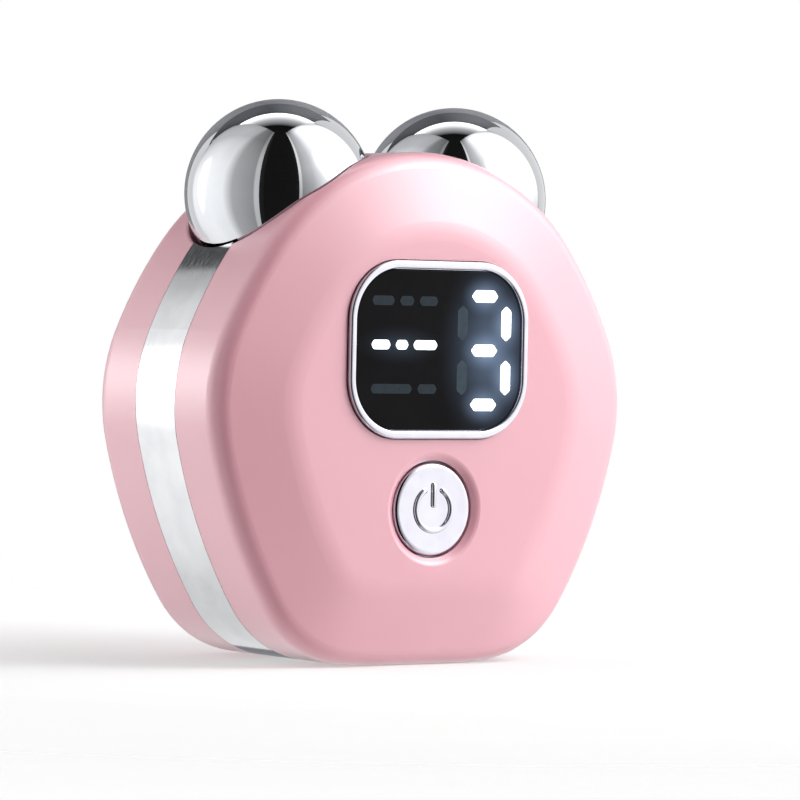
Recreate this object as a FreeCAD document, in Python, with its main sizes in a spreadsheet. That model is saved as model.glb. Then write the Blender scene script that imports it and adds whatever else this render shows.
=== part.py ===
import FreeCAD, Part
import math
import os
import Sketcher

# Handheld two-ball face massager, in millimetres.
# +X is to the right, +Y to the back, +Z up; the front face looks along -Y.
# The origin is the middle of the flat that the body stands on.
# "Depth" is measured from the middle plane of the body towards the front.

V = FreeCAD.Vector
doc = FreeCAD.newDocument("FaceMassager")
sheet = doc.addObject("Spreadsheet::Sheet", "Sizes")

SIZES = {
    # Outline of the body: a rounded pentagon of tangent arcs, normal angles in degrees.
    "body_width": 53.0,
    "shoulder_bow": 46.0,
    "vertex_radius": 19.0,
    "corner_radius": 12.6,
    "foot_bow": 50.0,
    "foot_flat": 8.8,
    "shoulder_top_angle": 37.3,
    "shoulder_low_angle": 23.4,
    "vertex_low_angle": 12.5,
    "corner_top_angle": 32.3,
    "foot_angle": 84.0,
    # Section of the two shells.
    "edge_depth": 11.3,
    "face_depth": 13.4,
    "back_depth": 14.0,
    "face_inset": 8.3,
    "edge_round": 2.2,
    "face_round": 8.5,
    "side_wall": 2.2,
    "face_wall": 2.0,
    # Bright band let into the sides.
    "band_half": 3.7,
    "band_thick": 1.2,
    "band_gap": 0.08,
    # Balls and the recesses that they turn in.
    "ball_radius": 10.0,
    "ball_tilt": 30.3,
    "ball_sink": 1.55,
    "ball_gap": 0.4,
    "mouth_round": 0.25,
    "cup_wall": 1.2,
    # Axles, measured inwards from the ball's middle.
    "axle_radius": 1.5,
    "axle_seat": 5.0,
    "axle_chamfer": 0.3,
    "axle_tail": 0.7,
    "running_gap": 0.03,
    "bush_wall": 1.1,
    "bush_lead": 0.75,
    "bush_hole_gap": 0.1,
    "clip_thick": 0.5,
    "clip_radius": 2.6,
    "clip_slot": 1.8,
    "clip_groove": 0.35,
    "clip_play": 0.05,
    # Bracket that carries both axles.
    "bracket_half": 3.6,
    "bracket_thick": 3.0,
    "bracket_reach": 8.0,
    "bracket_shoulder": 0.6,
    "bracket_gap": 0.05,
    # Spring strip that feeds each axle.
    "strip_thick": 0.3,
    "strip_half": 1.5,
    "strip_reach": 2.0,
    "strip_bend": 3.6,
    "strip_foot": 3.4,
    "strip_gap": 0.15,
    # Heater film on the bracket.
    "film_thick": 0.25,
    "film_margin": 0.45,
    "film_reach": 2.9,
    # Display: bezel, lens, gasket and light box.
    "display_height": 33.3,
    "bezel_width": 23.1,
    "bezel_tall": 18.65,
    "bezel_corner": 6.3,
    "bezel_rim": 0.85,
    "bezel_proud": 0.6,
    "bezel_sunk": 1.4,
    "bezel_ledge": 0.7,
    "bezel_floor": 0.3,
    "bezel_bevel": 0.3,
    "bezel_gap": 0.1,
    "lens_gap": 0.05,
    "lens_below": 0.35,
    "lens_edge": 0.2,
    "gasket_thick": 0.5,
    "gasket_rim": 0.45,
    "gasket_gap": 0.15,
    "window_gap": 0.3,
    "segment_deep": 0.6,
    "segment_thick": 1.35,
    "segment_gap": 0.35,
    "digit_middle": 5.85,
    "digit_half_width": 2.83,
    "digit_half_tall": 5.7,
    "bar_left": 8.75,
    "bar_rise": 0.5,
    "bar_long": 8.5,
    "bar_tall": 1.1,
    "bar_pitch": 4.6,
    # Button, its dish and the switch behind it.
    "button_height": 16.55,
    "button_radius": 4.95,
    "button_gap": 0.2,
    "button_front": 13.15,
    "button_edge": 0.55,
    "button_flange": 0.9,
    "flange_thick": 0.65,
    "flange_gap": 0.05,
    "stem_radius": 1.3,
    "stem_long": 0.5,
    "dish_bowl": 8.6,
    "dish_bowl_angle": 40.0,
    "dish_lip": 1.0,
    "dish_lip_angle": 8.0,
    "boss_wall": 1.2,
    "boss_depth": 10.6,
    "switch_side": 4.5,
    "switch_tall": 1.7,
    "switch_edge": 0.3,
    "plunger_radius": 1.0,
    "plunger_gap": 0.08,
    "plunger_sunk": 0.6,
    "plunger_room": 0.5,
    # Main board and its fixings.
    "board_inset": 3.0,
    "board_thick": 1.0,
    "board_depth": 6.0,
    "board_top": 39.4,
    "board_post_x": 14.5,
    "board_post_z": 19.0,
    "post_radius": 2.1,
    "screw_radius": 0.9,
    "screw_long": 3.6,
    "screw_head": 1.7,
    "screw_head_tall": 1.0,
    "screw_hole_gap": 0.2,
    "screw_socket": 0.7,
    "screw_socket_deep": 0.5,
    "chip_tall": 1.0,
    "chip_side": 5.0,
    "chip_pitch": 7.0,
    "chip_height": 26.5,
    "coil_radius": 1.9,
    "coil_height": 11.5,
    # Press pins that hold the shells together.
    "pin_inset": 5.0,
    "pin_radius": 1.1,
    "pin_long": 3.4,
    "pin_lead": 0.3,
    "pin_angle": 60.0,
    "socket_radius": 2.1,
    "socket_deep": 3.8,
    "notch_gap": 0.4,
    # Charging socket and its board.
    "usb_width": 8.94,
    "usb_tall": 3.2,
    "usb_corner_share": 0.47,
    "usb_wall": 0.3,
    "usb_long": 7.0,
    "usb_inset": 0.5,
    "usb_gap": 0.3,
    "usb_back": 1.6,
    "tongue_width": 6.7,
    "tongue_thick": 0.7,
    "tongue_inset": 1.0,
    "charge_board_width": 17.4,
    "charge_board_tall": 8.2,
    "charge_board_gap": 0.3,
    "charge_post_x": 6.9,
    "charge_post_z": 8.4,
    # Cell and its sticky pad.
    "cell_width": 20.0,
    "cell_tall": 21.0,
    "cell_thick": 5.6,
    "cell_height": 21.8,
    "cell_edge": 1.2,
    "pad_thick": 0.5,
    "pad_margin": 2.0,
    # Vibration motor on the left side.
    "motor_x": 15.4,
    "motor_radius": 3.0,
    "motor_long": 10.0,
    "motor_height": 13.0,
    "motor_shaft": 0.5,
    "shaft_gap": 0.05,
    "shaft_sunk": 1.5,
    "shaft_long": 4.9,
    "motor_nose": 1.2,
    "motor_nose_tall": 0.5,
    "weight_radius": 2.6,
    "weight_hub": 1.1,
    "weight_long": 3.4,
    "weight_gap": 0.4,
    "boot_wall": 0.8,
    "boot_long": 8.0,
    "boot_inset": 1.0,
    "cradle_wall": 1.2,
    "cradle_inset": 0.8,
    # How far every cut runs past the face that it opens.
    "overrun": 1.0,
}
for row, (alias, number) in enumerate(SIZES.items(), 1):
    sheet.set(f"A{row}", alias)
    sheet.set(f"B{row}", str(number))
    sheet.setAlias(f"B{row}", alias)
doc.recompute()

# Places and sizes that follow from the named ones.
places = doc.addObject("App::VarSet", "Places")


def value(expression):
    """The number that an expression has now."""
    found = sheet.evalExpression(expression)
    return float(getattr(found, "Value", found))


def place(name, expression):
    """A derived length, kept in the document and bound to the sheet."""
    places.addProperty("App::PropertyFloat", name)
    places.setExpression(name, expression)
    places.recompute()


def cos_of(alias):
    return f"cos(Sizes.{alias})"


def sin_of(alias):
    return f"sin(Sizes.{alias})"


# Outline arcs: the apex radius follows from the width, the low bow from the foot.
place(
    "apex_radius",
    "(Sizes.body_width / 2 - Sizes.shoulder_bow * "
    f"({cos_of('shoulder_low_angle')} - {cos_of('shoulder_top_angle')})"
    f" - Sizes.vertex_radius * (1 - {cos_of('shoulder_low_angle')})) / {cos_of('shoulder_top_angle')}",
)
place(
    "low_bow",
    "(Sizes.body_width / 2 - Sizes.foot_flat / 2"
    f" - Sizes.vertex_radius * (1 - {cos_of('vertex_low_angle')})"
    f" - Sizes.corner_radius * ({cos_of('corner_top_angle')} - {cos_of('foot_angle')})"
    f" - Sizes.foot_bow * {cos_of('foot_angle')})"
    f" / ({cos_of('vertex_low_angle')} - {cos_of('corner_top_angle')})",
)
# Middles of the arcs, from the foot upwards.
place("corner_x", f"Sizes.foot_flat / 2 + (Sizes.foot_bow - Sizes.corner_radius) * {cos_of('foot_angle')}")
place("corner_z", f"Sizes.foot_bow - (Sizes.foot_bow - Sizes.corner_radius) * {sin_of('foot_angle')}")
place("low_x", f"Places.corner_x - (Places.low_bow - Sizes.corner_radius) * {cos_of('corner_top_angle')}")
place("low_z", f"Places.corner_z + (Places.low_bow - Sizes.corner_radius) * {sin_of('corner_top_angle')}")
place("vertex_x", "Sizes.body_width / 2 - Sizes.vertex_radius")
place("vertex_z", f"Places.low_z - (Places.low_bow - Sizes.vertex_radius) * {sin_of('vertex_low_angle')}")
shoulder_step = "(Sizes.shoulder_bow - Sizes.vertex_radius)"
place("shoulder_x", f"Places.vertex_x - {shoulder_step} * {cos_of('shoulder_low_angle')}")
place("shoulder_z", f"Places.vertex_z - {shoulder_step} * {sin_of('shoulder_low_angle')}")
apex_step = "(Sizes.shoulder_bow - Places.apex_radius)"
place("apex_z", f"Places.shoulder_z + {apex_step} * {sin_of('shoulder_top_angle')}")
# Balls stand on radii of the apex arc.
place("ball_x", f"(Places.apex_radius - Sizes.ball_sink) * {sin_of('ball_tilt')}")
place("ball_z", f"Places.apex_z + (Places.apex_radius - Sizes.ball_sink) * {cos_of('ball_tilt')}")
place("recess_radius", "Sizes.ball_radius + Sizes.ball_gap")
place("cup_radius", "Places.recess_radius + Sizes.cup_wall")
# Stations along an axle, inwards from the middle of the ball.
place("bush_radius", "Sizes.axle_radius + Sizes.running_gap + Sizes.bush_wall")
place("bush_start", "Sizes.ball_radius + Sizes.bush_lead")
place("bracket_face", "Places.cup_radius + Sizes.bracket_gap + Sizes.bracket_thick")
place("clip_start", "Places.bracket_face + Sizes.clip_play")
place("clip_end", "Places.clip_start + Sizes.clip_thick")
place("axle_end", "Places.clip_end + Sizes.axle_tail")
place("strip_level", "Places.axle_end + Sizes.strip_gap")
# Depths of the front stack.
place("cavity_edge", "Sizes.edge_depth - Sizes.face_wall")
place("cavity_face", "Sizes.face_depth - Sizes.face_wall")
place("cavity_back", "Sizes.back_depth - Sizes.face_wall")
place("bezel_back", "Sizes.face_depth - Sizes.bezel_sunk")
place("bezel_front", "Sizes.face_depth + Sizes.bezel_proud")
place("lens_back", "Places.bezel_back + Sizes.bezel_floor")
place("lens_front", "Places.bezel_front - Sizes.lens_below")
place("lens_width", "Sizes.bezel_width - 2 * Sizes.bezel_rim")
place("lens_tall", "Sizes.bezel_tall - 2 * Sizes.bezel_rim")
place("lens_corner", "Sizes.bezel_corner - Sizes.bezel_rim")
place("ledge_width", "Places.lens_width - 2 * Sizes.bezel_ledge")
place("ledge_tall", "Places.lens_tall - 2 * Sizes.bezel_ledge")
place("ledge_corner", "Places.lens_corner - Sizes.bezel_ledge")
place("gasket_width", "Places.ledge_width - 2 * Sizes.gasket_gap")
place("gasket_tall", "Places.ledge_tall - 2 * Sizes.gasket_gap")
place("gasket_corner", "Places.ledge_corner - Sizes.gasket_gap")
place("box_front", "Places.lens_back - Sizes.gasket_thick")
place("board_front", "Sizes.board_depth + Sizes.board_thick")
# Dish round the button: a bowl that turns over a soft lip into the face.
place("bowl_edge", f"Sizes.dish_bowl * {sin_of('dish_bowl_angle')}")
place("lip_middle", f"Places.bowl_edge + Sizes.dish_lip * {sin_of('dish_bowl_angle')}")
place("lip_edge", f"Places.lip_middle - Sizes.dish_lip * {sin_of('dish_lip_angle')}")
place("lip_depth", f"Sizes.face_depth - Sizes.dish_lip * {cos_of('dish_lip_angle')}")
place("dish_middle", f"Places.lip_depth + (Sizes.dish_lip + Sizes.dish_bowl) * {cos_of('dish_bowl_angle')}")
place("hole_radius", "Sizes.button_radius + Sizes.button_gap")
place("flange_radius", "Places.hole_radius + Sizes.button_flange")
place("flange_front", "Sizes.boss_depth - Sizes.flange_gap")
place("stem_end", "Places.flange_front - Sizes.flange_thick - Sizes.stem_long")
place("switch_front", "Places.board_front + Sizes.switch_tall")
place("groove_inset", "Sizes.band_thick + Sizes.band_gap")
place("groove_half", "Sizes.band_half + Sizes.band_gap")
# Pins: two beside the vertices, two over the foot's corners.
place("pin_side_x", "Sizes.body_width / 2 - Sizes.pin_inset")
place("pin_side_z", "Places.vertex_z")
place("pin_foot_x", f"Places.corner_x + (Sizes.corner_radius - Sizes.pin_inset) * {cos_of('pin_angle')}")
place("pin_foot_z", f"Places.corner_z - (Sizes.corner_radius - Sizes.pin_inset) * {sin_of('pin_angle')}")
place("screw_p", "Sizes.bracket_reach - Sizes.screw_head - Sizes.screw_hole_gap - Sizes.bracket_gap")
place("screw_s", "Places.bracket_face - Sizes.bracket_thick / 2 - Sizes.bracket_shoulder / 2")
place(
    "bracket_screw_x",
    f"Places.ball_x - Places.screw_s * {sin_of('ball_tilt')} + Places.screw_p * {cos_of('ball_tilt')}",
)
place(
    "bracket_screw_z",
    f"Places.ball_z - Places.screw_s * {cos_of('ball_tilt')} - Places.screw_p * {sin_of('ball_tilt')}",
)
place("charge_face", "Sizes.usb_tall / 2")
place("cell_back", "Places.cavity_back - Sizes.pad_thick")
place("motor_top", "Sizes.motor_height + Sizes.motor_long")
place("weight_low", "Places.motor_top + Sizes.motor_nose_tall + Sizes.weight_gap")
place("boot_radius", "Sizes.motor_radius + Sizes.boot_wall")
doc.recompute()


# Sketch helpers

def start(label):
    body = doc.addObject("PartDesign::Body", label)
    body.Label = label
    body.AllowCompound = True
    return body


def sketch_in(body, role, offset="0"):
    """A sketch on one of the body's own planes, moved along its normal."""
    sketch = body.newObject("Sketcher::SketchObject", body.Name + "Sketch")
    plane = next(item for item in body.Origin.OriginFeatures if item.Role == role)
    sketch.AttachmentSupport = [(plane, "")]
    sketch.MapMode = "FlatFace"
    if offset != "0":
        sketch.setExpression("AttachmentOffset.Base.z", offset)
    return sketch


def bind(sketch, constraint, expression):
    index = sketch.addConstraint(constraint)
    name = f"size_{index}"
    sketch.renameConstraint(index, name)
    sketch.setExpression("Constraints." + name, expression)


def fix_point(sketch, geometry, point, x, y):
    for kind, expression, axis in (("DistanceX", x, -2), ("DistanceY", y, -1)):
        if expression == "0":
            sketch.addConstraint(Sketcher.Constraint("PointOnObject", geometry, point, axis))
        else:
            bind(sketch, Sketcher.Constraint(kind, -1, 1, geometry, point, value(expression)), expression)


def draw_polygon(sketch, points):
    """A closed polygon whose corners are pairs of expressions."""
    first = sketch.GeometryCount
    corners = [V(value(x), value(y), 0) for x, y in points]
    count = len(corners)
    for index in range(count):
        sketch.addGeometry(Part.LineSegment(corners[index], corners[(index + 1) % count]), False)
    for index in range(count):
        following = first + (index + 1) % count
        sketch.addConstraint(Sketcher.Constraint("Coincident", first + index, 2, following, 1))
    for index, (x, y) in enumerate(points):
        fix_point(sketch, first + index, 1, x, y)


def draw_box(sketch, left, low, right, high):
    draw_polygon(sketch, [(left, low), (right, low), (right, high), (left, high)])


def draw_circle(sketch, x, y, radius):
    centre = V(value(x), value(y), 0)
    index = sketch.addGeometry(Part.Circle(centre, V(0, 0, 1), value(radius)), False)
    fix_point(sketch, index, 3, x, y)
    bind(sketch, Sketcher.Constraint("Radius", index, value(radius)), radius)


def arc_of(centre, radius, low, high):
    circle = Part.Circle(V(centre[0], centre[1], 0), V(0, 0, 1), radius)
    return Part.ArcOfCircle(circle, math.radians(low), math.radians(high))


def draw_rounded(sketch, x, y, wide, tall, corner):
    """A rounded rectangle round (x, y)."""
    first = sketch.GeometryCount
    mid_x, mid_y, radius = value(x), value(y), value(corner)
    half_x, half_y = value(wide) / 2, value(tall) / 2
    left, right, low, high = mid_x - half_x, mid_x + half_x, mid_y - half_y, mid_y + half_y
    in_left, in_right, in_low, in_high = left + radius, right - radius, low + radius, high - radius
    sketch.addGeometry(Part.LineSegment(V(in_left, low, 0), V(in_right, low, 0)), False)
    sketch.addGeometry(arc_of((in_right, in_low), radius, 270, 360), False)
    sketch.addGeometry(Part.LineSegment(V(right, in_low, 0), V(right, in_high, 0)), False)
    sketch.addGeometry(arc_of((in_right, in_high), radius, 0, 90), False)
    sketch.addGeometry(Part.LineSegment(V(in_right, high, 0), V(in_left, high, 0)), False)
    sketch.addGeometry(arc_of((in_left, in_high), radius, 90, 180), False)
    sketch.addGeometry(Part.LineSegment(V(left, in_high, 0), V(left, in_low, 0)), False)
    sketch.addGeometry(arc_of((in_left, in_low), radius, 180, 270), False)
    for index in range(8):
        following = first + (index + 1) % 8
        sketch.addConstraint(Sketcher.Constraint("Tangent", first + index, 2, following, 1))
    for index in (0, 4):
        sketch.addConstraint(Sketcher.Constraint("Horizontal", first + index))
    for index in (2, 6):
        sketch.addConstraint(Sketcher.Constraint("Vertical", first + index))
    for index in (3, 5, 7):
        sketch.addConstraint(Sketcher.Constraint("Equal", first + 1, first + index))
    bind(sketch, Sketcher.Constraint("Radius", first + 1, radius), corner)
    for kind, index, number, expression in (
        ("DistanceX", 6, left, f"{x} - ({wide}) / 2"),
        ("DistanceX", 2, right, f"{x} + ({wide}) / 2"),
        ("DistanceY", 0, low, f"{y} - ({tall}) / 2"),
        ("DistanceY", 4, high, f"{y} + ({tall}) / 2"),
    ):
        bind(sketch, Sketcher.Constraint(kind, -1, 1, first + index, 1, number), expression)


def draw_outline(sketch, inset):
    """The rounded pentagon, moved in by the inset: an apex arc, five arcs a side and the foot."""
    step = value(inset)
    middles = [("0", "Places.apex_z")]
    middles += [(f"Places.{name}_x", f"Places.{name}_z") for name in ("shoulder", "vertex", "low", "corner")]
    middles.append(("Sizes.foot_flat / 2", "Sizes.foot_bow"))
    radii = ["Places.apex_radius", "Sizes.shoulder_bow", "Sizes.vertex_radius"]
    radii += ["Places.low_bow", "Sizes.corner_radius", "Sizes.foot_bow"]
    normals = [value("Sizes.shoulder_top_angle"), value("Sizes.shoulder_low_angle")]
    normals += [-value("Sizes." + name) for name in ("vertex_low_angle", "corner_top_angle", "foot_angle")]
    normals.append(-90)
    centres = [(value(x), value(y)) for x, y in middles]
    reach = [value(radius) - step for radius in radii]
    half_foot = value("Sizes.foot_flat") / 2
    sketch.addGeometry(arc_of(centres[0], reach[0], normals[0], 180 - normals[0]), False)
    for index in range(1, 6):
        sketch.addGeometry(arc_of(centres[index], reach[index], normals[index], normals[index - 1]), False)
    sketch.addGeometry(Part.LineSegment(V(half_foot, step, 0), V(-half_foot, step, 0)), False)
    for index in range(5, 0, -1):
        mirrored = (-centres[index][0], centres[index][1])
        low, high = 180 - normals[index - 1], 180 - normals[index]
        sketch.addGeometry(arc_of(mirrored, reach[index], low, high), False)
    joints = [(0, 1, 1, 2)] + [(index, 1, index + 1, 2) for index in range(1, 5)]
    joints += [(5, 1, 6, 1), (6, 2, 7, 2)] + [(index, 1, index + 1, 2) for index in range(7, 11)]
    joints.append((11, 1, 0, 2))
    for joint in joints:
        sketch.addConstraint(Sketcher.Constraint("Tangent", *joint))
    sketch.addConstraint(Sketcher.Constraint("Symmetric", 6, 1, 6, 2, -2))
    for index in range(1, 6):
        sketch.addConstraint(Sketcher.Constraint("Equal", index, 12 - index))
    if inset == "0":
        sketch.addConstraint(Sketcher.Constraint("PointOnObject", 6, 1, -1))
    else:
        bind(sketch, Sketcher.Constraint("DistanceY", -1, 1, 6, 1, step), inset)
    bind(sketch, Sketcher.Constraint("DistanceX", 6, 2, 6, 1, 2 * half_foot), "Sizes.foot_flat")
    bind(sketch, Sketcher.Constraint("DistanceX", -1, 1, 2, 3, centres[2][0]), "Places.vertex_x")
    for index in (1, 2, 4, 5):
        bind(sketch, Sketcher.Constraint("Radius", index, reach[index]), f"{radii[index]} - ({inset})")
    turns = {
        1: "Sizes.shoulder_top_angle - Sizes.shoulder_low_angle",
        2: "Sizes.shoulder_low_angle + Sizes.vertex_low_angle",
        3: "Sizes.corner_top_angle - Sizes.vertex_low_angle",
        4: "Sizes.foot_angle - Sizes.corner_top_angle",
        5: "90 - Sizes.foot_angle",
    }
    for index, turn in turns.items():
        radians = math.radians(value(turn))
        bind(sketch, Sketcher.Constraint("Angle", index, radians), f"({turn}) * 1 deg")
        if index > 1:
            bind(sketch, Sketcher.Constraint("Angle", 12 - index, radians), f"({turn}) * 1 deg")


# Feature helpers

def extrude(body, kind, sketch, length, backwards=False):
    feature = body.newObject("PartDesign::" + kind, body.Name + kind)
    feature.Profile = sketch
    feature.setExpression("Length", length)
    feature.Reversed = backwards
    doc.recompute()
    return feature


def pad(body, sketch, length, backwards=False):
    return extrude(body, "Pad", sketch, length, backwards)


def pocket(body, sketch, length, backwards=False):
    before = body.Tip.Shape.Volume
    feature = extrude(body, "Pocket", sketch, length, backwards)
    if feature.Shape.Volume >= before:
        raise RuntimeError(f"{body.Label}: a pocket cuts nothing")
    return feature


def loft(body, kind, first, second):
    feature = body.newObject("PartDesign::" + kind, body.Name + kind)
    feature.Profile = first
    feature.Sections = [second]
    feature.Ruled = True
    doc.recompute()
    return feature


def spin(body, sketch):
    """A full turn round the sketch's upright axis."""
    feature = body.newObject("PartDesign::Revolution", body.Name + "Revolution")
    feature.Profile = sketch
    feature.ReferenceAxis = (sketch, ["V_Axis"])
    feature.Angle = 360
    doc.recompute()
    return feature


def edges_at_depth(shape, depth):
    """Edges that lie whole in the plane at a depth."""
    found = []
    close = value("Sizes.running_gap") / 10
    for index, edge in enumerate(shape.Edges, 1):
        box = edge.BoundBox
        if abs(box.YMin + depth) < close and abs(box.YMax + depth) < close:
            found.append(f"Edge{index}")
    return found


def edges_at_height(shape, height, least=0.0):
    """Edges that lie whole in the level plane at a height and reach out past the least radius."""
    found = []
    close = value("Sizes.running_gap") / 10
    for index, edge in enumerate(shape.Edges, 1):
        box = edge.BoundBox
        if abs(box.ZMin - height) < close and abs(box.ZMax - height) < close and box.XMax > least:
            found.append(f"Edge{index}")
    return found


def soften(body, edges, radius, kind="Fillet"):
    base = body.Tip
    feature = body.newObject("PartDesign::" + kind, body.Name + kind)
    feature.Base = (base, edges)
    feature.setExpression("Radius" if kind == "Fillet" else "Size", radius)
    doc.recompute()
    return feature


def move(item, x="0", y="0", z="0", axis=None, angle=None):
    if axis is not None:
        item.Placement = FreeCAD.Placement(V(0, 0, 0), FreeCAD.Rotation(axis, value(angle)))
        item.setExpression("Placement.Rotation.Angle", angle)
    for name, expression in (("x", x), ("y", y), ("z", z)):
        if expression != "0":
            item.setExpression("Placement.Base." + name, expression)
    doc.recompute()
    return item


def turned(label, points, role="XZ_Plane"):
    """A turned piece: a profile of radius and station, spun round its own upright axis."""
    body = start(label)
    sketch = sketch_in(body, role)
    draw_polygon(sketch, points)
    spin(body, sketch)
    return body


def on_axle(item):
    """Stands a piece made round its own axis on the right-hand axle, ball's middle at its origin."""
    return move(item, "Places.ball_x", "0", "Places.ball_z", V(0, 1, 0), "Sizes.ball_tilt")


def facing_front(item, x, z):
    """Turns a piece made upright so that its stations are depths."""
    item.Placement = FreeCAD.Placement(V(0, 0, 0), FreeCAD.Rotation(V(1, 0, 0), 90))
    return move(item, x, "0", z)


def mirrored(label, source):
    copy = doc.addObject("Part::Mirroring", label)
    copy.Label = label
    copy.Source = source
    copy.Normal = V(1, 0, 0)
    copy.Base = V(0, 0, 0)
    doc.recompute()
    return copy


def together(label, items):
    group = doc.addObject("Part::Compound", label)
    group.Label = label
    group.Links = items
    doc.recompute()
    return group


def fused(label, items):
    joined = doc.addObject("Part::MultiFuse", label)
    joined.Label = label
    joined.Shapes = items
    doc.recompute()
    return joined


def cut(label, base, tools):
    """Takes the tools out of the base one after another; each has to take something."""
    for count, tool in enumerate(tools, 1):
        name = label if count == len(tools) else f"{label}Cut{count}"
        result = doc.addObject("Part::Cut", name)
        result.Label = name
        result.Base = base
        result.Tool = tool
        doc.recompute()
        if result.Shape.Volume >= base.Shape.Volume:
            raise RuntimeError(f"{label}: {tool.Label} cuts nothing")
        base = result
    return base


def sphere(label, x, y, z, radius):
    """A ball whose seam lies in the middle plane of the body, towards -X."""
    ball = doc.addObject("Part::Sphere", label)
    ball.setExpression("Radius", radius)
    ball.Placement = FreeCAD.Placement(V(0, 0, 0), FreeCAD.Rotation(V(0, 0, 1), 180))
    return move(ball, x, y, z)


def sphere_pair(label, radius):
    """Two balls of one size round the middles of the rollers."""
    right = sphere(label + "Right", "Places.ball_x", "0", "Places.ball_z", radius)
    left = sphere(label + "Left", "-Places.ball_x", "0", "Places.ball_z", radius)
    return [right, left]


def rod(label, x, z, radius, front, back):
    """A round bar along Y between two depths."""
    bar = doc.addObject("Part::Cylinder", label)
    bar.setExpression("Radius", radius)
    bar.setExpression("Height", f"({front}) - ({back})")
    bar.Placement = FreeCAD.Placement(V(0, 0, 0), FreeCAD.Rotation(V(1, 0, 0), 90))
    return move(bar, x, f"-({back})", z)


def both_sides(label, x, z, radius, front, back):
    right = rod(label + "Right", x, z, radius, front, back)
    left = rod(label + "Left", f"-({x})", z, radius, front, back)
    return [right, left]


def slab(label, draw, front, back):
    """A plate with a drawn outline between two depths; a larger depth is further forward."""
    body = start(label)
    sketch = sketch_in(body, "XZ_Plane", back)
    draw(sketch)
    pad(body, sketch, f"({front}) - ({back})")
    return body


# Outer forms and hollows of the two shells

def half_body(label, side, depth):
    """One half of the body: straight wall, sloping shoulder and flat face, edges softened."""
    body = start(label)
    rim = sketch_in(body, "XZ_Plane")
    draw_outline(rim, "0")
    pad(body, rim, "Sizes.edge_depth", side < 0)
    edge = sketch_in(body, "XZ_Plane", f"{side} * Sizes.edge_depth")
    draw_outline(edge, "0")
    face = sketch_in(body, "XZ_Plane", f"{side} * {depth}")
    draw_outline(face, "Sizes.face_inset")
    loft(body, "AdditiveLoft", edge, face)
    soften(body, edges_at_depth(body.Tip.Shape, side * value("Sizes.edge_depth")), "Sizes.edge_round")
    soften(body, edges_at_depth(body.Tip.Shape, side * value(depth)), "Sizes.face_round")
    return body


def half_hollow(label, side, depth):
    """The room inside one half, as a solid to be taken out."""
    body = start(label)
    rim = sketch_in(body, "XZ_Plane", f"{-side} * Sizes.overrun")
    draw_outline(rim, "Sizes.side_wall")
    pad(body, rim, "Places.cavity_edge + Sizes.overrun", side < 0)
    edge = sketch_in(body, "XZ_Plane", f"{side} * Places.cavity_edge")
    draw_outline(edge, "Sizes.side_wall")
    face = sketch_in(body, "XZ_Plane", f"{side} * {depth}")
    draw_outline(face, "Sizes.face_inset")
    loft(body, "AdditiveLoft", edge, face)
    return body


cups = sphere_pair("Cup", "Places.cup_radius")
recesses = sphere_pair("Recess", "Places.recess_radius")


def edges_on_recess(shape):
    """Edges that lie on a recess and leave the middle plane of the body."""
    found = []
    close = value("Sizes.running_gap") / 10
    radius = value("Places.recess_radius")
    middles = [ball.Placement.Base for ball in recesses]
    for index, edge in enumerate(shape.Edges, 1):
        if edge.Degenerated:
            continue
        points = edge.discretize(9)
        flat = max(abs(point.y) for point in points) < close
        for middle in middles:
            away = max(abs(point.distanceToPoint(middle) - radius) for point in points)
            if away < close and not flat:
                found.append(f"Edge{index}")
    return found


def open_to_balls(label, half):
    """A half body with the ball recesses let in and their mouths rounded."""
    body = start(label)
    body.BaseFeature = cut(label + "Recessed", half, recesses)
    doc.recompute()
    soften(body, edges_on_recess(body.Tip.Shape), "Sizes.mouth_round")
    return body


def axle_drill(label, radius):
    """A drill along both axles, from inside the ball to well past the bracket."""
    drill = turned(
        label + "Right",
        [("0", "-Places.strip_level"), (radius, "-Places.strip_level"), (radius, "0"), ("0", "0")],
        "YZ_Plane",
    )
    on_axle(drill)
    return [drill, mirrored(label + "Left", drill)]


bush_holes = axle_drill("BushHole", "Places.bush_radius + Sizes.bush_hole_gap")

# Ring that the band is let into, open over the tops of the balls.
groove = start("BandGroove")
groove_ring = sketch_in(groove, "XZ_Plane", "-Places.groove_half")
draw_outline(groove_ring, "-Sizes.overrun")
pad(groove, groove_ring, "2 * Places.groove_half")
groove_core = sketch_in(groove, "XZ_Plane", "Places.groove_half + Sizes.overrun")
draw_outline(groove_core, "Places.groove_inset")
pocket(groove, groove_core, "2 * (Places.groove_half + Sizes.overrun)")
groove_top = sketch_in(groove, "XZ_Plane", "Places.groove_half + Sizes.overrun")
draw_box(
    groove_top,
    "-Sizes.body_width",
    "Places.ball_z",
    "Sizes.body_width",
    "Places.ball_z + Sizes.body_width",
)
pocket(groove, groove_top, "2 * (Places.groove_half + Sizes.overrun)")

# Slot at the foot for the charging plug.
usb_corner = "Sizes.usb_tall * Sizes.usb_corner_share"
usb_slot = start("PlugSlot")
usb_slot_sketch = sketch_in(usb_slot, "XY_Plane", "-Sizes.overrun")
draw_rounded(
    usb_slot_sketch,
    "0",
    "0",
    "Sizes.usb_width + 2 * Sizes.usb_gap",
    "Sizes.usb_tall + 2 * Sizes.usb_gap",
    f"{usb_corner} + Sizes.usb_gap",
)
pad(usb_slot, usb_slot_sketch, "Sizes.side_wall + 2 * Sizes.overrun")

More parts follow.
